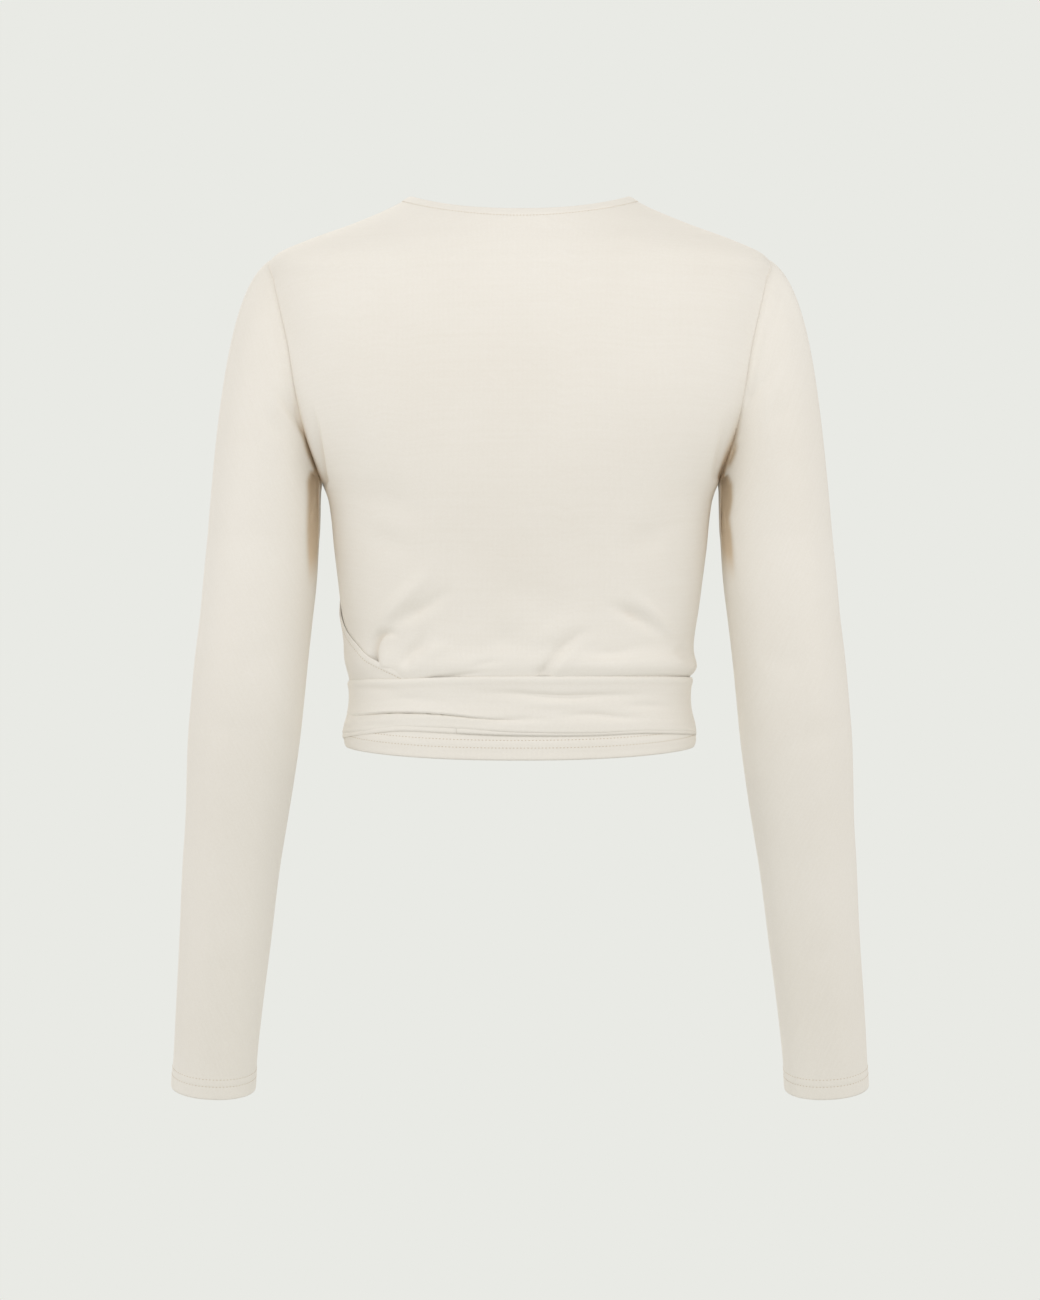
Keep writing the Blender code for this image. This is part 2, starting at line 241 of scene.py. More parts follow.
def torsoNormal(angle, level):
    # cross product of a step of 1 degree round and a step of 2 millimetres up
    along = torso(angle + 0.5, level) - torso(angle - 0.5, level)
    up = torso(angle, np.minimum(level + 1, 0)) - torso(angle, np.maximum(level - 1, form["hem"]))
    return unit(np.cross(up, along))


def cutIn(level, most, fullness):
    # most x (2 sqrt(q (1 - q)))^fullness, q the share of the way down the armhole
    q = np.clip((form["shoulder"] - level) / (form["shoulder"] - form["underarm"]), 0, 1)
    return most * (2 * np.sqrt(q * (1 - q))) ** fullness


# how deep the seam lies in the armpit, by level, on the wearer's left (1) and right (-1)
seamValley = {
    1: np.array(
        [(-211, 8.5), (-205, 11), (-195, 10), (-180, 6.5), (-165, 2.5), (-140, 0.0), (0, 0)]
    ),
    -1: np.array(
        [(-211, 8.5), (-205, 11), (-195, 9), (-180, 5), (-168, 1.5), (-155, 0.0), (0, 0)]
    ),
}


def seamPush(points, side):
    # depth by level from the table, fading out over 14 mm before the front
    table = seamValley[side]
    return np.interp(points[..., 2], table[:, 0], table[:, 1]) * smooth(points[..., 1] / 14)


def spaced(*spans):
    # levels along several spans, each (start, end, step)
    parts = [np.linspace(a, b, max(2, round(abs(b - a) / step) + 1))[:-1] for a, b, step in spans]
    return np.concatenate(parts + [[spans[-1][1]]])


def alongRows(points):
    # distance along each row from its first point
    step = np.linalg.norm(np.diff(points, axis=1), axis=-1)
    return np.concatenate([np.zeros((len(points), 1)), np.cumsum(step, axis=1)], axis=1)


def alongColumns(points):
    # distance along each column from its first point
    return alongRows(points.swapaxes(0, 1)).swapaxes(0, 1)


def smoothPath(path, count=14):
    # cubic through the few points of a fold's line
    path = np.array(path, float)
    at = np.concatenate([[0], np.cumsum(np.linalg.norm(np.diff(path, axis=0), axis=1))])
    t = np.linspace(0, at[-1], count)
    if len(path) < 3:
        return np.stack([np.interp(t, at, path[:, k]) for k in range(2)], axis=1)
    return np.stack([curve(t, at, path[:, k]) for k in range(2)], axis=1)


def nearLine(x, z, path):
    # distance from a line, which side of it (1 is left of its run), share of the way along it
    line = smoothPath(path)
    best, side, share = np.full(x.shape, 1e9), np.zeros(x.shape), np.zeros(x.shape)
    for i in range(len(line) - 1):
        a, d = line[i], line[i + 1] - line[i]
        t = np.clip(((x - a[0]) * d[0] + (z - a[1]) * d[1]) / (d @ d), 0, 1)
        px, pz = x - a[0] - t * d[0], z - a[1] - t * d[1]
        away = np.hypot(px, pz)
        nearer = away < best
        best = np.where(nearer, away, best)
        side = np.where(nearer, np.sign(d[0] * pz - d[1] * px), side)
        share = np.where(nearer, (i + t) / (len(line) - 1), share)
    return best, side, share


def endsEase(share, start, end):
    # smooth(share / start) x smooth((1 - share) / end), so an ease of 0 still starts at once
    return smooth((share + 0.02) / max(start, 0.02)) * smooth((1.02 - share) / max(end, 0.02))


def folds(x, z, table):
    # trough: - depth x bell(distance from the line) x ease at both ends; each side of the
    # line has its own width
    total = np.zeros(x.shape)
    for wideLeft, wideRight, depth, startEase, endEase, path in table:
        best, side, share = nearLine(x, z, path)
        wide = np.where(side > 0, wideLeft, wideRight)
        total -= depth * endsEase(share, startEase, endEase) * bump(best, wide)
    return total


def laps(x, z, table):
    # cloth folded over itself: height x e^-(distance / reach) on the upper side, and a
    # groove under its lip
    total = np.zeros(x.shape)
    for height, reach, groove, startEase, endEase, path in table:
        best, side, share = nearLine(x, z, path)
        above = -best * side  # the line runs towards -x, so its right is the upper side
        lip = height * np.exp(-np.maximum(above, 0) / reach) * smooth((above + 0.7) / 1.0)
        total += endsEase(share, startEase, endEase) * (lip - groove * bump(above + 0.9, 0.75))
    return total


def slack(x, z, size, seed):
    # soft unevenness: size x (0.6 sin sin + 0.4 sin sin), slow waves that cross each other
    a = np.sin(x / 31 + seed) * np.sin(z / 43 + 2.1 * seed)
    b = np.sin((x + z) / 57 + 1.7 * seed) * np.sin((x - 0.6 * z) / 38 + seed)
    return size * (0.6 * a + 0.4 * b)


def seamRoll(d):
    # cloth rolls in at a seam and puffs a little beside it: one bell in, one bell out
    return -0.7 * bump(d, 0.85) + 0.14 * bump(d - 3.2, 1.8)


def turnedEdge(d, width, groove=0.32, roll=0.55):
    # narrow turned hem: double cloth as far as the stitch line, a groove there, and the
    # edge rolled over
    double = 0.4 * (1 - smooth((d - width + 0.3) / 0.8))
    return double - groove * bump(d - width, 0.55) - roll * bump(d, 0.8)


def tuckedEdge(d, dip):
    # a low edge that lies in under the cloth's fullness: - dip (1 - smooth((d - 1) / 6))
    return -dip * (1 - smooth((d - 1) / 6))


def twinHem(d, first, second):
    # double cloth up to the second needle line, a bell pulled in at each line and at the edge
    return (
        0.3 * (1 - smooth((d - second) / 1.5))
        - 0.2 * bump(d - first, 0.55)
        - 0.22 * bump(d - second, 0.6)
        - 0.25 * bump(d, 0.7)
    )


def paintedCreaseShade(valley, relief):
    # painted shade: how far the cloth's colour is darkened towards the warm shade colour where
    # shade falls in seam valleys and deep folds: valley / 7 + what lies deeper than 2.4 mm / 9
    return valley / 7 + np.clip(-relief - 2.4, 0, 3) / 9


def linear(r, g, b):
    # screen colour, 0 to 255, as linear light
    c = np.array([r, g, b]) / 255
    return tuple(np.where(c <= 0.04045, c / 12.92, ((c + 0.055) / 1.055) ** 2.4))


def makeKnitGroup():
    # jersey: rows of small V loops. height = |sin(column)| x (0.78 + 0.22 sin(row + lean)),
    # where the lean zigzags across each column
    tree = bpy.data.node_groups.new("jerseyKnit", "ShaderNodeTree")

    def socket(name, way, kind):
        return tree.interface.new_socket(name, in_out=way, socket_type="NodeSocket" + kind)

    for name, value in (("Wale", 0.9), ("Course", 0.7), ("Streaks", 0.5), ("Depth", 0.5)):
        socket(name, "INPUT", "Float").default_value = value
    # the third colour is the painted shade for deep folds and seam valleys
    for name in ("Pale", "Deep", "PaintedShade"):
        socket(name, "INPUT", "Color")
    for name, kind in (("Color", "Color"), ("Roughness", "Float"), ("Height", "Float")):
        socket(name, "OUTPUT", kind)
    nodes, links = tree.nodes, tree.links
    given, out = nodes.new("NodeGroupInput"), nodes.new("NodeGroupOutput")

    def maths(kind, a, b=None, c=None):
        node = nodes.new("ShaderNodeMath")
        node.operation = kind
        for k, value in enumerate((a, b, c)):
            if value is None:
                continue
            if isinstance(value, (int, float)):
                node.inputs[k].default_value = value
            else:
                links.new(value, node.inputs[k])
        return node.outputs[0]

    def noise(vector, scale, detail):
        node = nodes.new("ShaderNodeTexNoise")
        node.inputs["Scale"].default_value = scale
        node.inputs["Detail"].default_value = detail
        links.new(vector, node.inputs["Vector"])
        return node.outputs["Fac"]

    uv, split = nodes.new("ShaderNodeUVMap"), nodes.new("ShaderNodeSeparateXYZ")
    place = nodes.new("ShaderNodeTexCoord")
    uv.uv_map = "clothUv"
    links.new(uv.outputs[0], split.inputs[0])
    u = maths("MULTIPLY", split.outputs[0], 100.0)  # a map unit is 100 pattern millimetres
    v = maths("MULTIPLY", split.outputs[1], 100.0)
    column = maths("DIVIDE", u, given.outputs["Wale"])
    row = maths("DIVIDE", v, given.outputs["Course"])
    rib = maths("ABSOLUTE", maths("SINE", maths("MULTIPLY", column, math.pi)))
    lean = maths("PINGPONG", column, 0.5)
    loop = maths("SINE", maths("MULTIPLY", maths("ADD", row, lean), 2 * math.pi))
    height = maths("MULTIPLY", rib, maths("MULTIPLY_ADD", loop, 0.22, 0.78))
    # faint streaks along the rows, slow clouds and a fine fuzz make it uneven
    stretch = nodes.new("ShaderNodeCombineXYZ")
    links.new(maths("MULTIPLY", u, 0.012), stretch.inputs[0])
    links.new(maths("MULTIPLY", v, 0.42), stretch.inputs[1])
    streak = noise(stretch.outputs[0], 1.0, 3.0)
    cloud = noise(place.outputs["Object"], 9.0, 4.0)
    fuzz = noise(place.outputs["Object"], 700.0, 2.0)
    streaked = maths("MULTIPLY", maths("SUBTRACT", streak, 0.5), given.outputs["Streaks"])
    uneven = maths("ADD", streaked, maths("MULTIPLY_ADD", cloud, 0.5, -0.25))
    # painted shade: the low places between the loops are coloured deeper, by (1 - height) x the
    # loop shade
    low = maths("MULTIPLY", maths("SUBTRACT", 1.0, height), given.outputs["Depth"])
    fuzzed = maths("MULTIPLY_ADD", fuzz, 0.3, 0.05)

    def mixed(kind, factor, first, second):
        node = nodes.new("ShaderNodeMix")
        node.data_type = "RGBA"
        node.clamp_factor = True
        node.blend_type = kind
        for k, value in ((0, factor), (6, first), (7, second)):
            links.new(value, node.inputs[k])
        return node.outputs[2]

    # the deep colour comes partly from the knit's uneven tone and fuzz, and partly from the
    # painted shade between the loops
    share = maths("ADD", maths("ADD", uneven, low), fuzzed)
    blend = mixed("MIX", share, given.outputs["Pale"], given.outputs["Deep"])
    # painted shade: the mesh's mask darkens the colour towards the warm shade colour in deep folds
    # and seam valleys
    paintedShadeMask = nodes.new("ShaderNodeAttribute")
    paintedShadeMask.attribute_name = "paintedShadeMask"
    paintedShadeColor = mixed("MULTIPLY", paintedShadeMask.outputs["Fac"], blend, given.outputs["PaintedShade"])
    links.new(paintedShadeColor, out.inputs["Color"])
    links.new(maths("MULTIPLY_ADD", uneven, 0.12, 0.82), out.inputs["Roughness"])
    ribbed = maths("MULTIPLY_ADD", streak, 0.5, height)
    links.new(maths("ADD", ribbed, maths("MULTIPLY", fuzz, 0.4)), out.inputs["Height"])
    return tree


knitGroup = makeKnitGroup()

jerseyLook = {
    "pale": (244, 241, 235),
    "deep": (229, 223, 212),
    # painted shade: the warm brown that the colour is multiplied towards in deep folds and seam
    # valleys
    "paintedCreaseShade": (0.88, 0.75, 0.6, 1),  # the colour is multiplied by this in a crease
    "sheen": (250, 243, 230),
    "bumpStrength": 0.35,
    "bumpDepth": 0.25,  # pattern millimetres
    # Depth is painted shade in the hollows between the knit's loops
    "body": {"Wale": 0.9, "Course": 0.7, "Streaks": 0.22, "Depth": 0.3},
    "tie": {"Wale": 0.85, "Course": 0.7, "Streaks": 0.16, "Depth": 0.3},
}


def jersey(name, knitValues):
    # the knit group's colour, roughness and height on a matt shader with a little sheen
    material = bpy.data.materials.new(name)
    material.use_nodes = True
    nodes, links = material.node_tree.nodes, material.node_tree.links
    shader = nodes["Principled BSDF"]
    knit, raised = nodes.new("ShaderNodeGroup"), nodes.new("ShaderNodeBump")
    knit.node_tree = knitGroup
    for socket, value in knitValues.items():
        knit.inputs[socket].default_value = value
    knit.inputs["Pale"].default_value = (*linear(*jerseyLook["pale"]), 1)
    knit.inputs["Deep"].default_value = (*linear(*jerseyLook["deep"]), 1)
    knit.inputs["PaintedShade"].default_value = jerseyLook["paintedCreaseShade"]
    raised.inputs["Strength"].default_value = jerseyLook["bumpStrength"]
    raised.inputs["Distance"].default_value = jerseyLook["bumpDepth"] * mm
    links.new(knit.outputs["Color"], shader.inputs["Base Color"])
    links.new(knit.outputs["Roughness"], shader.inputs["Roughness"])
    links.new(knit.outputs["Height"], raised.inputs["Height"])
    links.new(raised.outputs[0], shader.inputs["Normal"])
    shader.inputs["Sheen Weight"].default_value = 0.25
    shader.inputs["Sheen Roughness"].default_value = 0.45
    shader.inputs["Sheen Tint"].default_value = (*linear(*jerseyLook["sheen"]), 1)
    shader.inputs["Specular IOR Level"].default_value = 0.22
    return material


bodyJersey = jersey("creamJersey", jerseyLook["body"])
tieJersey = jersey("creamJerseyTie", jerseyLook["tie"])

threadLook = {
    # both creams are darker than the cloth: painted shade for the dimples between stitches
    "bands": ((196, 181, 158), (222, 210, 190)),
    "twist": 900,  # higher is more closely banded
    # spacing, length and width of one stitch
    "edgeStitch": (2.4, 1.3, 0.5),
    "hemStitch": (2.6, 1.35, 0.48),
}


def makeThread():
    # spun sewing thread: fine slanting bands of two creams from the thread's twist; both creams
    # are darker than the cloth, which is painted shade standing in for the dimples between the
    # stitches
    material = bpy.data.materials.new("creamThread")
    material.use_nodes = True
    nodes, links = material.node_tree.nodes, material.node_tree.links
    shader = nodes["Principled BSDF"]
    place, wave = nodes.new("ShaderNodeTexCoord"), nodes.new("ShaderNodeTexWave")
    ramp = nodes.new("ShaderNodeValToRGB")
    wave.inputs["Scale"].default_value = threadLook["twist"]
    for stop, colour in zip(ramp.color_ramp.elements, threadLook["bands"]):
        stop.color = (*linear(*colour), 1)
    links.new(place.outputs["Object"], wave.inputs["Vector"])
    links.new(wave.outputs["Fac"], ramp.inputs[0])
    links.new(ramp.outputs[0], shader.inputs["Base Color"])
    shader.inputs["Roughness"].default_value = 0.6
    shader.inputs["Sheen Weight"].default_value = 0.15
    return material


thread = makeThread()
print("materials made")


def gridMesh(name, points, outward, uv, closed, material, paintedShadeMask=None):
    # quads between neighbouring points of the grid, turned so that they face outwards
    rows, cols = points.shape[:2]
    index = np.arange(rows * cols).reshape(rows, cols)
    here = index if closed else index[:, :-1]
    beside = np.roll(index, -1, axis=1) if closed else index[:, 1:]
    quads = np.stack([here[:-1], beside[:-1], beside[1:], here[1:]], axis=-1).reshape(-1, 4)
    corner = np.stack([uv[:-1, :-1], uv[:-1, 1:], uv[1:, 1:], uv[1:, :-1]], axis=2)
    corner = corner.reshape(-1, 4, 2)
    flat = points.reshape(-1, 3)
    first, second, last = flat[quads[:, 0]], flat[quads[:, 1]], flat[quads[:, 3]]
    faceNormal = np.cross(second - first, last - first)
    if (faceNormal * outward.reshape(-1, 3)[quads[:, 0]]).sum() < 0:
        quads, corner = quads[:, ::-1], corner[:, ::-1]
    mesh = bpy.data.meshes.new(name)
    mesh.from_pydata((flat * mm).tolist(), [], quads.tolist())
    mesh.uv_layers.new(name="clothUv").data.foreach_set("uv", (corner * 0.01).ravel())
    mesh.polygons.foreach_set("use_smooth", np.ones(len(quads), bool))
    # the painted shade mask, 0 to 1, kept on the mesh for the material
    if paintedShadeMask is not None:
        marks = mesh.attributes.new("paintedShadeMask", "FLOAT", "POINT")
        marks.data.foreach_set("value", np.clip(paintedShadeMask, 0, 1).ravel())
    mesh.materials.append(material)
    made = bpy.data.objects.new(name, mesh)
    bpy.context.scene.collection.objects.link(made)
    return made


def cloth(name, points, outward, closed, material, node, thick, paintedShadeMask=None):
    # the sheet gets its thickness evenly on both sides; its map is the distance across and
    # along, in pattern millimetres
    ringed = np.concatenate([points, points[:, :1]], axis=1) if closed else points
    across = alongRows(ringed)
    across = across - across[:, [across.shape[1] // 2]]
    uv = np.stack([across, alongColumns(ringed)], axis=-1)
    made = gridMesh(name, points, outward, uv, closed, material, paintedShadeMask)
    wall = made.modifiers.new("clothThickness", "SOLIDIFY")
    wall.thickness = form[thick] * mm
    wall.offset = 0
    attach(made, "root")
    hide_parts(node)
    return made


def lineAt(points, outward, distance, d):
    # the line that keeps this distance from a panel's edge, one point for each column
    cols = points.shape[1]
    place, facing = np.empty((cols, 3)), np.empty((cols, 3))
    order = np.argsort(distance, axis=0)
    for j in range(cols):
        at = distance[order[:, j], j]
        for k in range(3):
            place[j, k] = np.interp(d, at, points[order[:, j], j, k])
            facing[j, k] = np.interp(d, at, outward[order[:, j], j, k])
    return place, unit(facing)


def stitchRows(name, lines, size):
    # each stitch is a six-sided bead: ring radii follow a half ellipse along the thread,
    # and its middle is bowed up by 0.12 (1 - reach^2)
    pitch, length, width = size
    ring = np.arange(6)
    around = np.radians(ring * 60)
    reach, girth = np.array([-1, -0.62, 0.0, 0.62, 1]), np.array([0.12, 0.8, 1.0, 0.8, 0.12])
    bow = 0.12 * (1 - reach**2)
    upShare = bow[:, None] + girth[:, None] * width / 2 * np.sin(around)
    sideShare = girth[:, None] * width / 2 * np.cos(around)

    def walk(values, walked, at):
        return np.stack([np.interp(at, walked, values[:, k]) for k in range(3)], axis=1)

    points = []
    for place, facing in lines:
        step = np.linalg.norm(np.diff(place, axis=0), axis=1)
        walked = np.concatenate([[0], np.cumsum(step)])
        at = np.arange(pitch, walked[-1] - pitch, pitch)
        centre, up = walk(place, walked, at), unit(walk(facing, walked, at))
        run = unit(walk(place, walked, at + 0.5) - centre)
        side = np.cross(run, up)
        centre, run, up, side = (v[:, None, None] for v in (centre, run, up, side))
        body = centre + run * (reach * length / 2)[None, :, None, None]
        body = body + up * upShare[None, :, :, None]
        body = body + side * sideShare[None, :, :, None]
        body = body + up * form["cloth"] / 2
        points.append(body.reshape(-1, 30, 3))
    points = np.concatenate(points)
    count = len(points)
    turned = (ring + 1) % 6
    bands = [np.stack([ring, turned, turned + 6, ring + 6], axis=1) + 6 * i for i in range(4)]
    quads = np.concatenate(bands)
    quads = (quads[None] + 30 * np.arange(count)[:, None, None]).reshape(-1, 4).tolist()
    caps = [(end + 30 * n).tolist() for end in (ring[::-1], ring + 24) for n in range(count)]
    mesh = bpy.data.meshes.new(name)
    mesh.from_pydata((points.reshape(-1, 3) * mm).tolist(), [], quads + caps)
    mesh.polygons.foreach_set("use_smooth", np.ones(len(mesh.polygons), bool))
    mesh.materials.append(thread)
    made = bpy.data.objects.new(name, mesh)
    bpy.context.scene.collection.objects.link(made)
    body = bmesh.new()
    body.from_mesh(mesh)
    bmesh.ops.recalc_face_normals(body, faces=body.faces)
    body.to_mesh(mesh)
    body.free()
    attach(made, "root")
    return made


backLook = {
    "columns": 193,
    "columnSpread": 0.22,  # how much closer the columns stand towards the armholes
    # start, end and step of the rows
    "rows": (
        (-404.5, -384, 0.85),
        (-384, -358, 2.6),
        (-358, -340, 0.9),
        (-340, -312, 1.5),
        (-312, -222, 2.6),
        (-222, -46, 2.5),
        (-46, -14, 1.6),
        (-14, 0, 0.45),
    ),
    "neckHem": 7.6,
    "neckRelief": 1.3,
    "hemRows": (9.0, 14.5),
    "hemFlare": (0.9, 7),  # how far out the hem stands, and over what height
    "blouseOver": (8.5, 6.5),  # where above the sash the cloth bellies out, and how widely
    # by x: how far it bellies out, and how far it fills the step to the sash
    "blouse": np.array(
        [
            (-135, 2.6, 0.9),
            (-122, 2.9, 1.6),
            (-100, 2.1, 2.4),
            (-70, 1.7, 2.6),
            (-40, 1.3, 2.4),
            (-20, 0.6, 2.2),
            (0, 0.1, 2.1),
            (18, 0.3, 2.1),
            (35, 0.8, 2.0),
            (55, 0.8, 2.0),
            (75, 0.6, 1.9),
            (100, 0.2, 0.4),
            (135, 0, 0.2),
        ]
    ),
    # wide left of the line, wide right of it, depth, ease at the start, ease at the end,
    # line in x and z
    "folds": (
        # down the armholes
        (3.8, 1.5, 4.6, 0.7, 0.02, (
            (152.6, -151.4), (149.9, -160), (147, -172.6), (145.3, -185.4), (143.4, -202.3),
            (142.4, -210),
        )),
        (3.6, 7.5, 3.0, 0.8, 0.1, (
            (-151.5, -153), (-149.6, -168.4), (-146.8, -185.4), (-144.5, -200), (-143.5, -210),
        )),
        # from the crossing at the left
        (2.0, 3.4, 4.4, 0.0, 0.5, (
            (104.6, -344), (105.6, -334), (104.2, -326.8), (99.5, -321.2), (92.1, -320.1),
            (86, -323),
        )),
        (4.0, 4.0, -1.5, 0.1, 0.7, ((98.5, -345), (96.5, -334), (90, -328))),
        (4.2, 4.6, 3.2, 0.2, 0.7, (
            (84.5, -345), (80, -336), (72.5, -328.6), (68.8, -321.2), (60, -314.5),
        )),
        (4.0, 5.2, 3.2, 0.5, 0.7, (
            (97, -316.5), (82, -308.5), (68, -300.5), (54, -291), (42, -283),
        )),
        (5.6, 6.4, -3.4, 0.4, 0.6, (
            (109, -321), (98, -309), (86, -296), (72.5, -283), (58, -266),
        )),
        (5.0, 5.0, -1.8, 0.5, 0.6, ((74, -341), (62, -332), (44, -329))),
        (3.5, 3.5, -1.0, 0.6, 0.6, ((88, -346.5), (80, -347.5))),
        # where it is tucked under the sash
        (2.4, 1.6, 1.3, 0.3, 0.6, (
            (76, -353.0), (61.4, -350.8), (48.5, -349.6), (33.7, -347.6), (16, -344),
        )),
        (2.6, 2.2, 1.0, 0.4, 0.6, ((40, -344), (22, -340), (4, -338))),
        (1.9, 1.3, 1.2, 0.5, 0.05, (
            (-25, -347.2), (-42.9, -349.6), (-69.9, -350.2), (-93.5, -350.1), (-109, -350.7),
            (-128, -352.9),
        )),
        # up from the middle of the sash
        (5.0, 3.6, 3.5, 0.15, 0.7, (
            (-12.5, -352), (-17.5, -345.4), (-23.3, -339.6), (-29.2, -331.8), (-35.1, -326),
            (-42.8, -320.1), (-56, -316.5),
        )),
        (4.5, 4.5, -2.0, 0.2, 0.7, ((-21.5, -350), (-31.2, -338.6), (-43, -327.5), (-60, -320.5))),
        (7.0, 7.0, -2.0, 0.5, 0.7, ((-10, -335), (-20, -322), (-31, -314), (-50, -307))),
        (3.8, 4.6, 3.6, 0.5, 0.6, (
            (-60, -296.5), (-74, -303.6), (-83.8, -308.5), (-93.5, -315.3), (-104, -323),
        )),
        (4.2, 4.2, -2.4, 0.5, 0.6, ((-74, -286), (-93.5, -302.7), (-105.2, -314.2), (-119, -326))),
        (4.4, 4.4, 2.2, 0.5, 0.6, ((-42, -336), (-58.5, -334.8), (-74, -333.8), (-92, -328.5))),
        (4.2, 4.2, 2.0, 0.4, 0.3, ((-112, -330), (-120, -337), (-123, -346))),
        (9.0, 9.0, 1.8, 0.6, 0.6, ((20, -310), (11, -323), (8, -338))),
        # soft drag over the rest of the back
        (12.0, 9.0, 2.0, 0.6, 0.6, ((122, -236), (98, -252), (66, -262))),
        (12.0, 9.0, 1.8, 0.6, 0.6, ((-120, -232), (-96, -250), (-62, -262))),
        (14.0, 11.0, 1.8, 0.6, 0.6, ((118, -206), (92, -226), (60, -238))),
        (12.0, 14.0, 1.4, 0.6, 0.6, ((30, -272), (-4, -290), (-40, -296))),
    ),
}


def makeBackPanel():
    # ring angle = share x (90 - cut in), level rows from the hem up; the relief is added
    # along the form's outward direction
    look = backLook
    t = np.linspace(-1, 1, look["columns"])[None, :]
    share = t * (1 + look["columnSpread"] - look["columnSpread"] * t * t)
    level = np.repeat(spaced(*look["rows"])[:, None], t.shape[1], axis=1)
    angle = share * (90 - cutIn(level, *form["cutBack"]))
    base, outward = torso(angle, level), torsoNormal(angle, level)
    fromSide = np.minimum(alongRows(base), alongRows(base[:, ::-1])[:, ::-1])
    fromHem, fromNeck = alongColumns(base), alongColumns(base[::-1])[::-1]
    x, z = base[..., 0], base[..., 2]
    aboveSash = z - columnsAt(tieEdges, angle)[0]
    belly, fill = columnsAt(look["blouse"], x)
    over = belly * bump(aboveSash - look["blouseOver"][0], look["blouseOver"][1])
    over *= smooth(fromSide / 6 + 0.4)
    over += fill * smooth((aboveSash + 3.5) / 4) * (1 - smooth((aboveSash - 5) / 18))
    relief = folds(x, z, look["folds"])
    relief += slack(x, z, 0.5, 0.4) * smooth(fromNeck / 25) * smooth(fromHem / 25)
    relief = (relief + over) * smooth(fromSide / form["seamEase"] + 0.15)
    relief += seamRoll(fromSide)
    turned = turnedEdge(fromNeck, look["neckHem"], 0.24, 0.5)
    relief += look["neckRelief"] * turned * smooth(fromSide / form["seamEase"])
    flare, flareHeight = look["hemFlare"]
    relief += twinHem(fromHem, *look["hemRows"]) + flare * (1 - smooth(fromHem / flareHeight))
    points = base + outward * relief[..., None]
    valley = np.where(x > 0, seamPush(base, 1), seamPush(base, -1))
    valley *= bump(fromSide, np.where(x > 0, 3.2, 4.5))
    points[..., 1] += form["seamGap"] / 2 - valley
    # the mask from the seam valleys and deep folds paints shade into the cloth's colour
    made = cloth(
        "backPanel", points, outward, False, bodyJersey, "back_panel",
        "cloth", paintedCreaseShade(valley, relief),
    )
    inside = slice(6, -6)  # the stitches stop short of the armholes

    def lineIn(distance, d):
        return lineAt(points[:, inside], outward[:, inside], distance[:, inside], d)

    neckLine = lineIn(fromNeck, look["neckHem"])
    hemLines = [lineIn(fromHem, d) for d in look["hemRows"]]
    neck = stitchRows("backNeckStitches", [neckLine], threadLook["edgeStitch"])
    hem = stitchRows("backHemStitches", hemLines, threadLook["hemStitch"])


makeBackPanel()
print("back panel made")

frontLook = {
    "edgeRows": (1.7, 4.4),
    "edgeTurn": (0.45, 0.55),  # groove and roll of the turned neck edge
    "edgeDip": 0.45,
    "hemRows": (9.0, 14.5),
    "outerColumns": 255,
    "innerColumns": 161,
    "innerEnd": 91.0,  # ring angle where the inner front ends in the side seam
    "edgeBand": (11, 0.5, 15),  # rows beside the neck edge: from, to, how many
    "armholeRows": 58,
    "lowRows": ((-404.5, -384, 1.4), (-384, -211, 3.6)),
    "highRows": ((-46, -14, 2.2), (-14, 0, 1.6)),
    "cutFade": 1.8,  # how fast the armhole's cut fades out across the front
    "rightFolds": (  # ridges on the front, seen from the back as the frame's x and z
        (7, 5, -1.8, 0.1, 0.9, ((-52, -352), (-30, -330), (0, -312), (38, -300))),
        (8, 6, -1.5, 0.1, 0.9, ((-50, -350), (-22, -318), (12, -290), (50, -270))),
        (6, 8, -1.6, 0.1, 0.9, ((-62, -350), (-70, -325), (-84, -300), (-100, -284))),
        (7, 7, -1.2, 0.1, 0.9, ((-54, -352), (-44, -318), (-36, -290))),
        (9, 9, -1.2, 0.6, 0.6, ((20, -344), (52, -330), (90, -326))),
        (4, 5, -1.4, 0.6, 0.1, ((-150, -150), (-146, -178), (-142, -206))),
        (5, 7, -1.2, 0.3, 0.8, ((-134, -238), (-110, -252), (-84, -258))),
    ),
    "leftFolds": (
        (5, 4, 1.7, 0.6, 0.1, ((150, -152), (146, -180), (142, -208))),
        (7, 5, 1.2, 0.3, 0.8, ((134, -236), (112, -250), (90, -254))),
    ),
}


def frontGrid(count, farEnd, rise, edgeBand, hemLevel):
    # level = hem + share of the height to the neck edge; ring angle = 270 - (270 - the edge's
    # angle at that level) x share across - cut in, so no column crosses the neck edge
    wide = 270 - form["turnEnd"]
    u = np.linspace(0, (270 - farEnd) / wide, count)
    hem = hemLevel(270 - u * wide)
    top = curve(u, neckEdge[:, 2], neckEdge[:, 1])
    span = top - hem
    halfWidth = 105  # of a middle ring
    slope = np.gradient(top, np.radians(270 - u * wide) * halfWidth)
    lean = 1 / np.sqrt(1 + slope**2)
    nearEdge = 1 - edgeBand[:, None] / np.maximum(lean, 0.35) / span
    level = hem + span * np.concatenate([rise[:, None] * nearEdge[0], nearEdge], axis=0)
    # the neck edge at each level: its ring angle, and the share of the column that ends there
    fine = np.linspace(1, 0, 4001)
    fineLevel = curve(fine, neckEdge[:, 2], neckEdge[:, 1])
    edgeAngle = np.interp(level, fineLevel, np.interp(fine, neckEdge[:, 2], neckEdge[:, 0]))
    edgeShare = np.maximum(np.interp(level, fineLevel, fine), 1e-6)
    across = u / np.minimum(edgeShare, u[-1])
    cut = cutIn(level, *form["cutFront"]) * np.maximum(1 - across, 0) ** frontLook["cutFade"]
    return 270 - (270 - np.maximum(edgeAngle, farEnd)) * across - cut, level


def edgeLean(base):
    # how square the columns stand to the top edge: the sine of the angle between them
    along = unit(np.gradient(base[-1], axis=0))
    up = unit(base[-1] - base[-4])
    return np.linalg.norm(np.cross(along, up), axis=-1)[None, :]


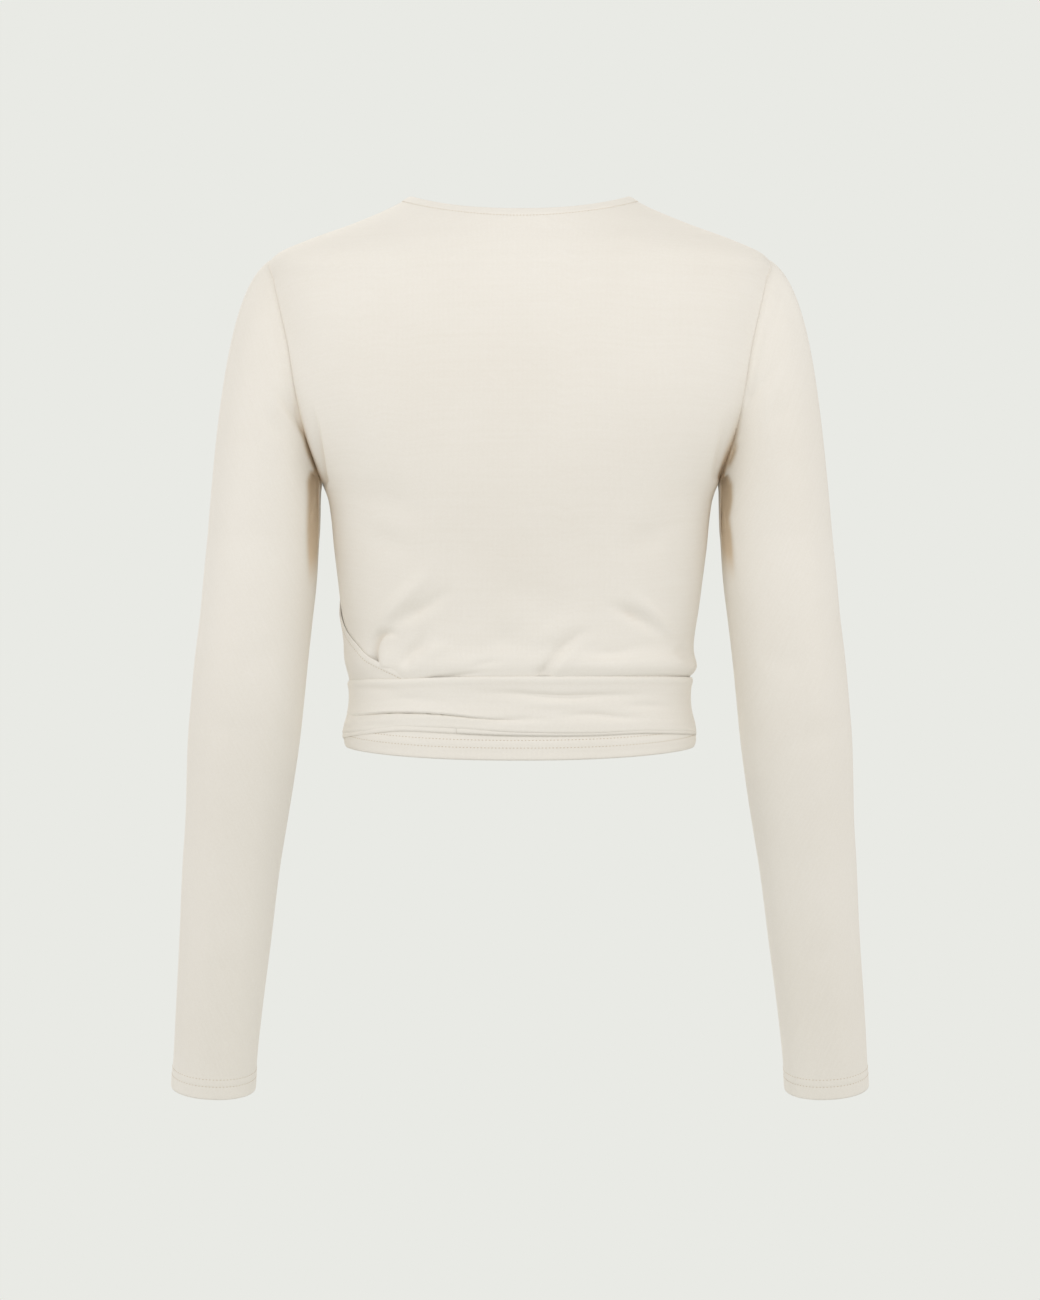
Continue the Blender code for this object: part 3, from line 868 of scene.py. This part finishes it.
def finishFront(name, node, angle, level, over, creases, mirrored):
    # form + layer height + relief, all outwards; the inner front is worked out the outer
    # one's way round and then mirrored in x
    look = frontLook
    base, outward = torso(angle, level), torsoNormal(angle, level)
    base = base + outward * over[..., None]
    fromSide = alongRows(base)
    fromHem, fromEdge = alongColumns(base), alongColumns(base[::-1])[::-1]
    fromEdge = fromEdge * np.clip(edgeLean(base), 0.35, 1)
    x, z = base[..., 0], base[..., 2]
    inFront = smooth(-base[..., 1] / 12)
    shown = -x if mirrored else x
    relief = folds(shown, z, creases) * inFront + slack(shown, z, 0.45, 1.9)
    relief = relief * smooth(fromSide / form["seamEase"] + 0.15)
    relief = relief * smooth(fromEdge / 7) * smooth(fromHem / 10)
    relief += seamRoll(fromSide)
    folded = turnedEdge(fromEdge, look["edgeRows"][1], *look["edgeTurn"])
    folded -= 0.3 * bump(fromEdge - look["edgeRows"][0], 0.5)
    relief += folded * smooth(fromSide / form["seamEase"])
    onTop = np.clip(over / form["layer"], 0, 1)
    relief -= look["edgeDip"] * onTop * (1 - smooth(fromEdge / 6))
    relief += twinHem(fromHem, *look["hemRows"]) * smooth((angle - 92) / 10)
    tieEdge = turnedEdge(fromHem, *form["tieTurn"]) + tuckedEdge(fromHem, form["tieTuck"])
    relief += tieEdge * smooth((100 - angle) / 10)
    points = base + outward * relief[..., None]
    if mirrored:
        points[..., 0] *= -1
        outward = outward * np.array([-1, 1, 1])
    points[..., 1] -= form["seamGap"] / 2
    made = cloth(name, points, outward, False, bodyJersey, node, "cloth")
    inside = np.arange(angle.shape[1]) > 4  # the stitches stop short of the sewn side
    beforeEnd = inside & (np.arange(angle.shape[1]) < angle.shape[1] - 3)

    def lineIn(where, distance, d):
        return lineAt(points[:, where], outward[:, where], distance[:, where], d)

    edge = lineIn(beforeEnd, fromEdge, look["edgeRows"][1])
    edgeStitches = stitchRows(name + "EdgeStitches", [edge], threadLook["edgeStitch"])
    onHem = inside & (angle[0] > 95)
    hemLines = [lineIn(onHem, fromHem, d) for d in look["hemRows"]]
    hemStitches = stitchRows(name + "HemStitches", hemLines, threadLook["hemStitch"])


def makeFronts():
    # rows as shares of the height: even below and above the armhole, and along it closer
    # where it turns in, as cosines of even steps
    look = frontLook
    start, end, count = look["edgeBand"]
    edgeBand = np.concatenate([np.linspace(start, end, count), [0.0]])
    turn = np.radians(np.linspace(180, 0, look["armholeRows"]))
    armhole = form["shoulder"] + (form["underarm"] - form["shoulder"]) * (1 - np.cos(turn)) / 2
    low, high = spaced(*look["lowRows"]), spaced(*look["highRows"])
    rise = (np.concatenate([low[:-1], armhole[:-1], high[:-1]]) - form["hem"]) / -form["hem"]
    angle, level = frontGrid(
        look["outerColumns"], form["turnEnd"], rise, edgeBand,
        lambda a: curve(a, frontHem[:, 0], frontHem[:, 1]),
    )
    over = form["layer"] * smooth((140 - angle) / 50)
    finishFront(
        "frontRight", "front_right", angle, level, over, look["rightFolds"], False,
    )
    angle, level = frontGrid(
        look["innerColumns"], look["innerEnd"], rise, edgeBand,
        lambda a: form["hem"] + 9 * smooth((150 - a) / 50),
    )
    sewn = 270 - cutIn(level, *form["cutFront"])
    over = -form["layer"] * smooth((sewn - angle) / 50) * smooth((-95 - level) / 60)
    finishFront(
        "frontLeft", "front_left", angle, level, over, look["leftFolds"], True,
    )


makeFronts()
print("fronts made")

sleeveLook = {
    "cuffRows": (10.0, 15.6),
    "rings": 160,
    "headRows": (86, 1.15),  # how many, and how much closer together at the seam
    "rows": ((-252, -330, 2.4), (-330, -641, 3.4), (-641, -663.6, 0.9)),
    # the head's Bezier handles: at the underarm, and what is added towards the shoulder
    "leaveOut": (2.5, 25.5),
    "leaveDown": (1, 13),
    "leavePuff": 8,
    "arriveIn": (1.6, 6.4),
    "arriveUp": (12, 88),
    # as for the back: wide left, wide right, depth, eases, line in x and z; the sleeve's back
    "leftFolds": (
        (3.5, 7.0, 2.6, 0.7, 0.05, ((181, -140), (171, -152), (163, -163), (156.5, -174))),
        (6.0, 7.0, 1.2, 0.6, 0.5, ((194, -152), (180, -168), (168, -184))),
        (9.0, 12.0, 1.0, 0.5, 0.6, ((166, -318), (190, -338), (220, -346))),
        (10.0, 8.0, 0.9, 0.5, 0.6, ((236, -378), (214, -390), (186, -394))),
        (8.0, 10.0, 0.6, 0.5, 0.6, ((200, -560), (222, -570), (244, -572))),
    ),
    "rightFolds": (
        (5.0, 5.0, 1.8, 0.1, 0.7, ((164, -152.5), (174, -141), (183, -130), (193, -118))),
        (7.0, 6.0, 1.1, 0.5, 0.6, ((179.5, -175), (190, -158), (199.4, -142.5))),
        (12.0, 9.0, 1.0, 0.5, 0.6, ((168, -326), (192, -342), (222, -348))),
        (8.0, 10.0, 0.9, 0.5, 0.6, ((238, -386), (216, -396), (188, -402))),
        (10.0, 8.0, 0.6, 0.5, 0.6, ((198, -548), (222, -560), (246, -560))),
    ),
    # where the cloth turns in under the arm, pulled straight in: same columns
    "leftDeep": (
        (1.6, 3.4, 6.5, 0.5, 0.3, ((157.5, -172), (156.3, -182), (153.8, -191), (151.0, -198))),
        (1.4, 9.0, 14.0, 0.03, 0.6, (
            (152.6, -203.5), (153.9, -206), (154.0, -215), (154.0, -226), (154.3, -238),
            (154.3, -252), (153.6, -290),
        )),
        (0.9, 0.9, -3.0, 0.2, 0.4, ((150.2, -208), (151.2, -222), (153.0, -236), (155.8, -248))),
    ),
    "rightDeep": (
        (1.6, 3.4, 6.0, 0.5, 0.3, ((157.8, -176), (157.0, -186), (154.2, -195), (151.3, -201))),
        (1.4, 9.0, 14.0, 0.03, 0.6, (
            (152.0, -206.3), (154.0, -210), (154.4, -216), (154.2, -226), (152.4, -236),
            (153.6, -246), (155.2, -262), (156.5, -285),
        )),
        (0.9, 0.9, -2.2, 0.3, 0.4, ((150.6, -228), (151.2, -240), (153.0, -252))),
    ),
    "innerFolds": (  # the bend of the elbow, on the front
        (5.0, 7.0, 1.8, 0.5, 0.6, ((170, -372), (196, -384), (230, -380))),
        (6.0, 6.0, 1.4, 0.5, 0.6, ((168, -398), (200, -404), (236, -396))),
        (7.0, 6.0, 1.2, 0.5, 0.6, ((166, -350), (190, -358), (216, -352))),
        (6.0, 8.0, 1.5, 0.7, 0.1, ((196, -130), (178, -156), (162, -180))),
    ),
}


def sleeveRing(turn, level):
    # ring: x = half |cos|^(2/round), y = depth |sin|^(2/round), tilted by its lean; turn 0 is
    # the outer edge, 90 the back
    outer, inner, middle, deep, lean = columnsAt(sleeveRows, level)
    s, c = np.sin(np.radians(turn)), np.cos(np.radians(turn))
    power = 2 / form["sleeveRound"]
    x = (outer - inner) / 2 * np.sign(c) * np.abs(c) ** power
    y = deep * np.sign(s) * np.abs(s) ** power
    return np.stack([x + (outer + inner) / 2, middle + y, level + lean * y + 0.05 * x], axis=-1)


def armholeLoop(turn):
    # turn 0 is the shoulder point, 90 the back, on the same curve as the panels' edges:
    # level falls as (1 - cos) / 2, ring angle = 90 -/+ cut in
    drop = (1 - np.cos(np.radians(turn))) / 2
    level = form["shoulder"] + (form["underarm"] - form["shoulder"]) * drop
    behind = np.sin(np.radians(turn)) >= 0
    cut = np.where(behind, -cutIn(level, *form["cutBack"]), cutIn(level, *form["cutFront"]))
    angle = 90 + cut
    points, facing = torso(angle, level), torsoNormal(angle, level)
    along = np.roll(points, -1, axis=0) - np.roll(points, 1, axis=0)
    outward = unit(np.cross(facing, along))
    outward *= np.sign(outward[:, :1] + 1e-9)
    return points + outward * form["seamGap"], facing


def makeSleeve(name, node, side, creases, deepFolds):
    # Bezier lines from the armhole to the first ring under it, then rings down to the cuff
    look = sleeveLook
    count = look["rings"]
    turn = np.arange(count) * 360 / count
    start, startFacing = armholeLoop(turn)
    end = sleeveRing(turn, np.full(count, sleeveRows[-1, 0]))
    high = np.cos(np.radians(turn / 2)) ** 2  # 1 at the shoulder, 0 at the underarm

    def handle(key):
        return look[key][0] + look[key][1] * high

    puff = np.sin(np.radians(turn)) * look["leavePuff"] * (1 - np.abs(np.cos(np.radians(turn))))
    leave = np.stack([handle("leaveOut"), puff, -handle("leaveDown")], axis=-1)
    arrive = np.stack([-handle("arriveIn"), np.zeros(count), handle("arriveUp")], axis=-1)
    headCount, headPower = look["headRows"]
    t = (np.linspace(0, 1, headCount) ** headPower)[:, None, None]
    head = (1 - t) ** 3 * start + 3 * t * (1 - t) ** 2 * (start + leave)
    head = head + 3 * t * t * (1 - t) * (end + arrive) + t**3 * end
    arm = np.array([sleeveRing(turn, np.full(count, z)) for z in spaced(*look["rows"])])
    base = np.concatenate([head, arm])
    around = np.roll(base, -1, axis=1) - np.roll(base, 1, axis=1)
    outward = unit(np.cross(around, np.gradient(base, axis=0)))
    middle = base.mean(axis=1, keepdims=True)
    outward *= np.sign(((base - middle) * outward).sum(-1).mean())
    blend = (1 - smooth(np.arange(len(base)) / 5))[:, None, None]
    outward = unit(outward * (1 - blend) + startFacing * blend)
    fromSeam, fromCuff = alongColumns(base), alongColumns(base[::-1])[::-1]
    x, z = base[..., 0], base[..., 2]
    behind = smooth((base[..., 1] - middle[..., 1] + 8) / 14)
    relief = folds(x, z, creases) * behind + folds(x, z, look["innerFolds"]) * (1 - behind)
    relief += slack(x * side, z, 0.55, 1.0 + side) * smooth(fromSeam / 15) * smooth(fromCuff / 30)
    relief *= smooth(fromSeam / 3 + 0.1)
    meanRadius = 38
    fromUnder = np.abs(turn - 180)[None, :] * np.pi / 180 * meanRadius  # the inner edge's seam
    relief += seamRoll(fromSeam) + 0.45 * seamRoll(fromUnder) * smooth(fromSeam / 8)
    relief += twinHem(fromCuff, *look["cuffRows"])
    points = base + outward * relief[..., None]
    valley = seamPush(base[:1], side) * bump(fromSeam, 3.0)
    valley = np.maximum(valley, -folds(x, z, deepFolds) * smooth((base[..., 1] - 3) / 14))
    points[..., 1] -= valley
    flip = np.array([side, 1, 1])
    points, outward = points * flip, outward * flip
    # the mask from the armpit valleys and deep folds paints shade into the cloth's colour
    made = cloth(
        name, points, outward, True, bodyJersey, node,
        "cloth", paintedCreaseShade(valley, relief),
    )
    rows = [lineAt(points, outward, fromCuff, d) for d in look["cuffRows"]]
    rows = [(np.concatenate([p, p[:1]]), np.concatenate([n, n[:1]])) for p, n in rows]
    stitches = stitchRows(name + "CuffStitches", rows, threadLook["hemStitch"])


makeSleeve("sleeveLeft", "sleeve_left", 1, sleeveLook["leftFolds"], sleeveLook["leftDeep"])
makeSleeve("sleeveRight", "sleeve_right", -1, sleeveLook["rightFolds"], sleeveLook["rightDeep"])
print("sleeves made")

tieLook = {
    "underColumns": 260,
    "underTop": 4.0,  # the length underneath stays this far below the sash's top edge
    "underHighest": -357,
    "sashColumns": 330,
    "sashEnd": -162,  # ring angle of the sash's end under the knot
    "sashEdge": (0.09, 8, 58),  # share of the width with close rows, rows in it, rows between
    "sashTop": (0.9, 0.35),  # roll of the top edge, and the fullness below it
    "sashLow": (0.8, 0.85),  # roll and tuck of the low edge
    "sashRipple": 0.35,  # small pleats round the front
    # height of the folded cloth, its reach upwards, groove, eases, line in x and z
    "sashLaps": (
        (1.7, 6.5, 1.3, 0.25, 0.45, (
            (131, -380.6), (120.6, -380.2), (109.5, -378.6), (98.4, -377.2), (85.5, -376.7),
            (63.3, -377.0), (44.8, -378.4), (30, -379.9), (11.5, -380.9), (-8, -381.4),
        )),
    ),
    "sashFolds": (
        (3.2, 2.6, 2.0, 0.5, 0.5, (
            (44, -361.5), (22.6, -362.4), (7.8, -362.4), (-11.5, -364.2), (-31.2, -365.4),
            (-56.5, -364.6), (-80, -364.3), (-106, -362.5),
        )),
        (3.0, 3.0, 1.0, 0.5, 0.6, ((124, -360.8), (98.4, -360.8), (80, -362.2))),
        (3.0, 3.0, 0.7, 0.5, 0.6, ((104, -366), (76, -367.5), (48, -369.5))),
        (3.0, 3.0, -0.8, 0.5, 0.6, ((12, -370), (-28, -370.5), (-64, -371.5))),
        (2.8, 2.4, 1.3, 0.4, 0.5, ((34, -384), (8, -381.6), (-14, -381.4), (-24, -382))),
        (2.8, 2.4, 1.7, 0.5, 0.5, (
            (-22, -379.8), (-34, -378.9), (-50.7, -378.2), (-69.9, -380.1), (-98, -382.3),
        )),
        (2.6, 2.6, 0.8, 0.5, 0.5, ((-70, -372), (-92, -372.5), (-114, -374))),
        (2.4, 2.4, 0.6, 0.3, 0.5, ((126, -389), (104, -387), (72, -386.5))),
    ),
}


def bandGrid(angles, top, low, rows, over):
    # a strip on the torso form: level = low + share x (top - low), raised by the layers under it
    share = rows[:, None]
    level = low + (top - low) * share
    angle = angles[None, :] + 0 * share
    outward = torsoNormal(angle, level)
    return torso(angle, level) + outward * (over + 0 * share)[..., None], outward


def makeTies():
    # two strips round the body: form + layer height + relief of turned edges, folds and laps
    look = tieLook
    angles = np.linspace(form["turnEnd"] + 2.4, form["tieJoin"] - 360, look["underColumns"])
    sashTop, _, low = columnsAt(tieEdges, angles)
    top = sashTop - look["underTop"]
    top = np.where(angles > 0, np.minimum(top, look["underHighest"]), top)
    over = form["layer"] - 1.0 * smooth((angles - form["turnEnd"] + 0.5) / 1.2)
    base, outward = bandGrid(angles, top, low, np.linspace(0, 1, 26), over[None, :])
    fromLow, fromTop = alongColumns(base), alongColumns(base[::-1])[::-1]
    relief = turnedEdge(fromLow, *form["tieTurn"]) + turnedEdge(fromTop, form["tieTurn"][0], 0.2)
    relief += tuckedEdge(fromLow, form["tieTuck"])
    points = base + outward * relief[..., None]
    under = cloth(
        "tieUnder", points, outward, False, tieJersey, "tie_under", "cloth"
    )

    angles = np.linspace(form["tieJoin"] - 0.1, look["sashEnd"], look["sashColumns"])
    top, low, _ = columnsAt(tieEdges, angles)
    over = form["layer"] + form["sashStep"] * smooth((140 - angles) / 50)
    edge, edgeRows, middleRows = look["sashEdge"]
    rows = np.concatenate(
        [
            np.linspace(0, edge, edgeRows)[:-1],
            np.linspace(edge, 1 - edge, middleRows)[:-1],
            np.linspace(1 - edge, 1, edgeRows),
        ]
    )
    base, outward = bandGrid(angles, top, low, rows, over[None, :])
    fromLow, fromTop = alongColumns(base), alongColumns(base[::-1])[::-1]
    x, z = base[..., 0], base[..., 2]
    behind = smooth(base[..., 1] / 10 + 0.6)
    relief = (folds(x, z, look["sashFolds"]) + laps(x, z, look["sashLaps"])) * behind
    relief += look["sashRipple"] * (1 - behind) * np.sin(z / 2.6 + x / 60)
    relief += slack(x, z * 2.5, 0.25, 2.2)
    roll, fullness = look["sashTop"]
    relief += -roll * bump(fromTop, 0.9) + fullness * bump(fromTop - 3.2, 2.0)
    roll, tuck = look["sashLow"]
    relief += -roll * bump(fromLow, 0.8) + tuckedEdge(fromLow, tuck)
    points = base + outward * relief[..., None]
    sash = cloth(
        "tieSash", points, outward, False, tieJersey, "tie_sash", "sashCloth"
    )


makeTies()

knotLook = {
    "angle": 203.0,  # ring angle of the knot's middle
    "level": -377.0,
    "half": (16.5, 5.8, 24.5),  # half width, half depth, half height
    "waist": 0.2,
    "square": (0.8, 0.85),
    "pleats": ((0.08, 7, 2.45), (0.035, 13, -4)),  # height, waves across, waves up
    "tailForward": 11.6,
    "tailTop": -26.0,  # below the knot's middle
    "tailHalf": (11.5, 7),  # half width at the knot, and what is added lower down
    "tailDrop": 14,
    "tailShift": 6,
    "tailWave": 2.6,
    "tailBelly": 2.2,
}


def makeKnot():
    # a soft squared ball over the ties: radius x (1 + height sin(across + up) of each pleat),
    # and a short wavy end that hangs out of it
    look = knotLook
    middle = np.array(look["angle"]), np.array(look["level"])
    spot = torso(*middle)
    facing = unit(torsoNormal(*middle) * np.array([1, 1, 0]))
    sideways = np.cross(facing, (0, 0, 1.0))
    box = [np.array(c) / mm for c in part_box("tie_knot")]
    centre = (box[0] + box[1]) / 2
    v = np.radians(np.linspace(-90, 90, 60))[:, None]
    u = np.radians(np.linspace(0, 360, 90, endpoint=False))[None, :]

    def squared(value, power):
        return np.sign(value) * np.abs(value) ** power

    soft, firm = look["square"]
    across = squared(np.cos(v), soft) * squared(np.cos(u), firm)
    out = squared(np.cos(v), soft) * squared(np.sin(u), firm)
    up = squared(np.sin(v), firm) + 0 * u
    pleat = 1 + 0 * across
    for height, wavesAcross, wavesUp in look["pleats"]:
        pleat += height * np.sin(wavesAcross * across + wavesUp * up) * np.abs(np.cos(v))
    waist = 1 - look["waist"] * (1 - np.abs(up) ** 1.5)
    halfWidth, halfDepth, halfHeight = look["half"]
    points = centre + sideways * (across * halfWidth * waist * pleat)[..., None]
    points = points + facing * (out * halfDepth * pleat)[..., None]
    points = points + np.array([0, 0, 1.0]) * (up * halfHeight)[..., None]
    outward = unit(points - centre)
    uvAcross, uvAlong = np.linspace(0, 80, 91)[None, :], np.linspace(0, 60, 60)[:, None]
    uv = np.stack(np.broadcast_arrays(uvAcross, uvAlong), axis=-1)
    knot = gridMesh("tieKnot", points, outward, uv, True, tieJersey)
    merge = knot.modifiers.new("closedPoles", "WELD")
    merge.merge_threshold = 0.00005
    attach(knot, "root")
    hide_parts("tie_knot")

    down, side = np.linspace(0, 1, 50)[:, None], np.linspace(-1, 1, 60)[None, :]
    wide = look["tailHalf"][0] + look["tailHalf"][1] * smooth(down * 1.4)
    start = spot + facing * look["tailForward"] + np.array([0, 0, look["tailTop"]])
    wave = look["tailWave"] * np.cos(side * 6.2 + 0.8) * (1 - 0.45 * down)
    wave = wave * smooth(down * 3 + 0.2)
    tail = start + sideways * (wide * side + look["tailShift"] * down)[..., None]
    tail = tail + facing * (wave + look["tailBelly"] * np.sin(down * math.pi))[..., None]
    tail = tail + np.array([0, 0, -1.0]) * (look["tailDrop"] * down + 0 * side)[..., None]
    facing = np.broadcast_to(facing, tail.shape)
    end = cloth("tieTail", tail, facing, False, tieJersey, "tie_tail", "tailCloth")


makeKnot()
print("tie made")

studio = {
    "backdrop": (233, 234, 229),
    "ambient": 0.665,
    "ambientTint": (1.0, 0.985, 0.955, 1),
    "lampTint": (1.0, 0.985, 0.96),
    "viewHeight": 962.0,  # what the camera takes in at the garment, in pattern millimetres
    "sensor": 36,
    "distance": 3.2,
    "rise": 2.0,  # degrees the camera looks down
    "middle": -334.0,
    "floorDrop": 0.36,
    "floorRadius": 1.05,
    "floorFade": 0.45,  # share of the radius where the floor starts to fade out
    # name, place, point it is aimed at, size, power
    "lamps": (
        ("leftKey", (0.9, 1.25, 0.5), (0.05, 0, -0.14), 0.9, 5.6),
        ("rightKey", (-0.9, 1.25, 0.5), (-0.05, 0, -0.14), 0.9, 5.6),
        ("leftSide", (2.0, 0.1, -0.1), (0.25, 0, -0.25), 1.0, 3.4),
        ("rightSide", (-2.0, 0.1, -0.1), (-0.25, 0, -0.25), 1.0, 3.4),
        ("frontFill", (0.6, -2.4, 1.2), (0, 0, -0.3), 1.8, 26),
    ),
}


def makeFloor():
    # pale disc that fades out to the backdrop's colour at its rim
    radius = studio["floorRadius"]
    mesh = bpy.data.meshes.new("floor")
    turn = np.radians(np.arange(96) * 3.75)
    level = cadLow[2] - studio["floorDrop"]
    rim = np.stack([radius * np.cos(turn), radius * np.sin(turn), 0 * turn + level], axis=1)
    mesh.from_pydata(rim.tolist(), [], [list(range(96))])
    material = bpy.data.materials.new("paleFloor")
    material.use_nodes = True
    nodes, links = material.node_tree.nodes, material.node_tree.links
    place, ramp = nodes.new("ShaderNodeTexCoord"), nodes.new("ShaderNodeMapRange")
    flat, size = nodes.new("ShaderNodeVectorMath"), nodes.new("ShaderNodeVectorMath")
    flat.operation = "MULTIPLY"
    flat.inputs[1].default_value = (1, 1, 0)
    size.operation = "LENGTH"
    ramp.inputs["From Min"].default_value = radius
    ramp.inputs["From Max"].default_value = radius * studio["floorFade"]
    ramp.interpolation_type = "SMOOTHSTEP"
    shader = nodes["Principled BSDF"]
    shader.inputs["Base Color"].default_value = (*linear(*studio["backdrop"]), 1)
    shader.inputs["Roughness"].default_value = 0.9
    shader.inputs["Specular IOR Level"].default_value = 0.1
    links.new(place.outputs["Object"], flat.inputs[0])
    links.new(flat.outputs[0], size.inputs[0])
    links.new(size.outputs["Value"], ramp.inputs["Value"])
    links.new(ramp.outputs["Result"], shader.inputs["Alpha"])
    mesh.materials.append(material)
    floor = bpy.data.objects.new("floor", mesh)
    bpy.context.scene.collection.objects.link(floor)


def makeWorld():
    # the backdrop's colour where the camera sees it, and a warmer light for the cloth
    world = bpy.data.worlds.new("studioWorld")
    world.use_nodes = True
    nodes, links = world.node_tree.nodes, world.node_tree.links
    background, out = nodes["Background"], nodes["World Output"]
    seen, mix = nodes.new("ShaderNodeLightPath"), nodes.new("ShaderNodeMixShader")
    shown = nodes.new("ShaderNodeBackground")
    shown.inputs["Color"].default_value = (*linear(*studio["backdrop"]), 1)
    background.inputs["Color"].default_value = studio["ambientTint"]
    background.inputs["Strength"].default_value = studio["ambient"]
    links.new(seen.outputs["Is Camera Ray"], mix.inputs[0])
    links.new(background.outputs[0], mix.inputs[1])
    links.new(shown.outputs[0], mix.inputs[2])
    links.new(mix.outputs[0], out.inputs["Surface"])
    bpy.context.scene.world = world


def aim(thing, place, target):
    # put there, its -Z turned along the line to the target
    thing.location = place
    thing.rotation_euler = (Vector(target) - Vector(place)).to_track_quat("-Z", "Y").to_euler()


def makeLight(name, place, target, size, power):
    # a square soft lamp
    data = bpy.data.lights.new(name, "AREA")
    data.size, data.energy = size, power
    data.color = studio["lampTint"]
    lamp = bpy.data.objects.new(name, data)
    bpy.context.scene.collection.objects.link(lamp)
    aim(lamp, place, target)


def makeCamera():
    # lens = sensor x distance / height taken in, at the garment's middle
    data = bpy.data.cameras.new("camera")
    data.sensor_fit = "VERTICAL"
    data.sensor_height = studio["sensor"]
    data.lens = studio["sensor"] * studio["distance"] / (studio["viewHeight"] * mm)
    camera = bpy.data.objects.new("camera", data)
    bpy.context.scene.collection.objects.link(camera)
    tilt = math.radians(studio["rise"])
    target = (0, 0, studio["middle"] * mm)
    lift = studio["distance"] * math.sin(tilt)
    aim(camera, (0, studio["distance"] * math.cos(tilt), target[2] + lift), target)
    bpy.context.scene.camera = camera


makeFloor()
makeWorld()
for lamp in studio["lamps"]:
    makeLight(*lamp)
makeCamera()
bpy.context.scene.view_settings.view_transform = "Standard"
print("stage made")
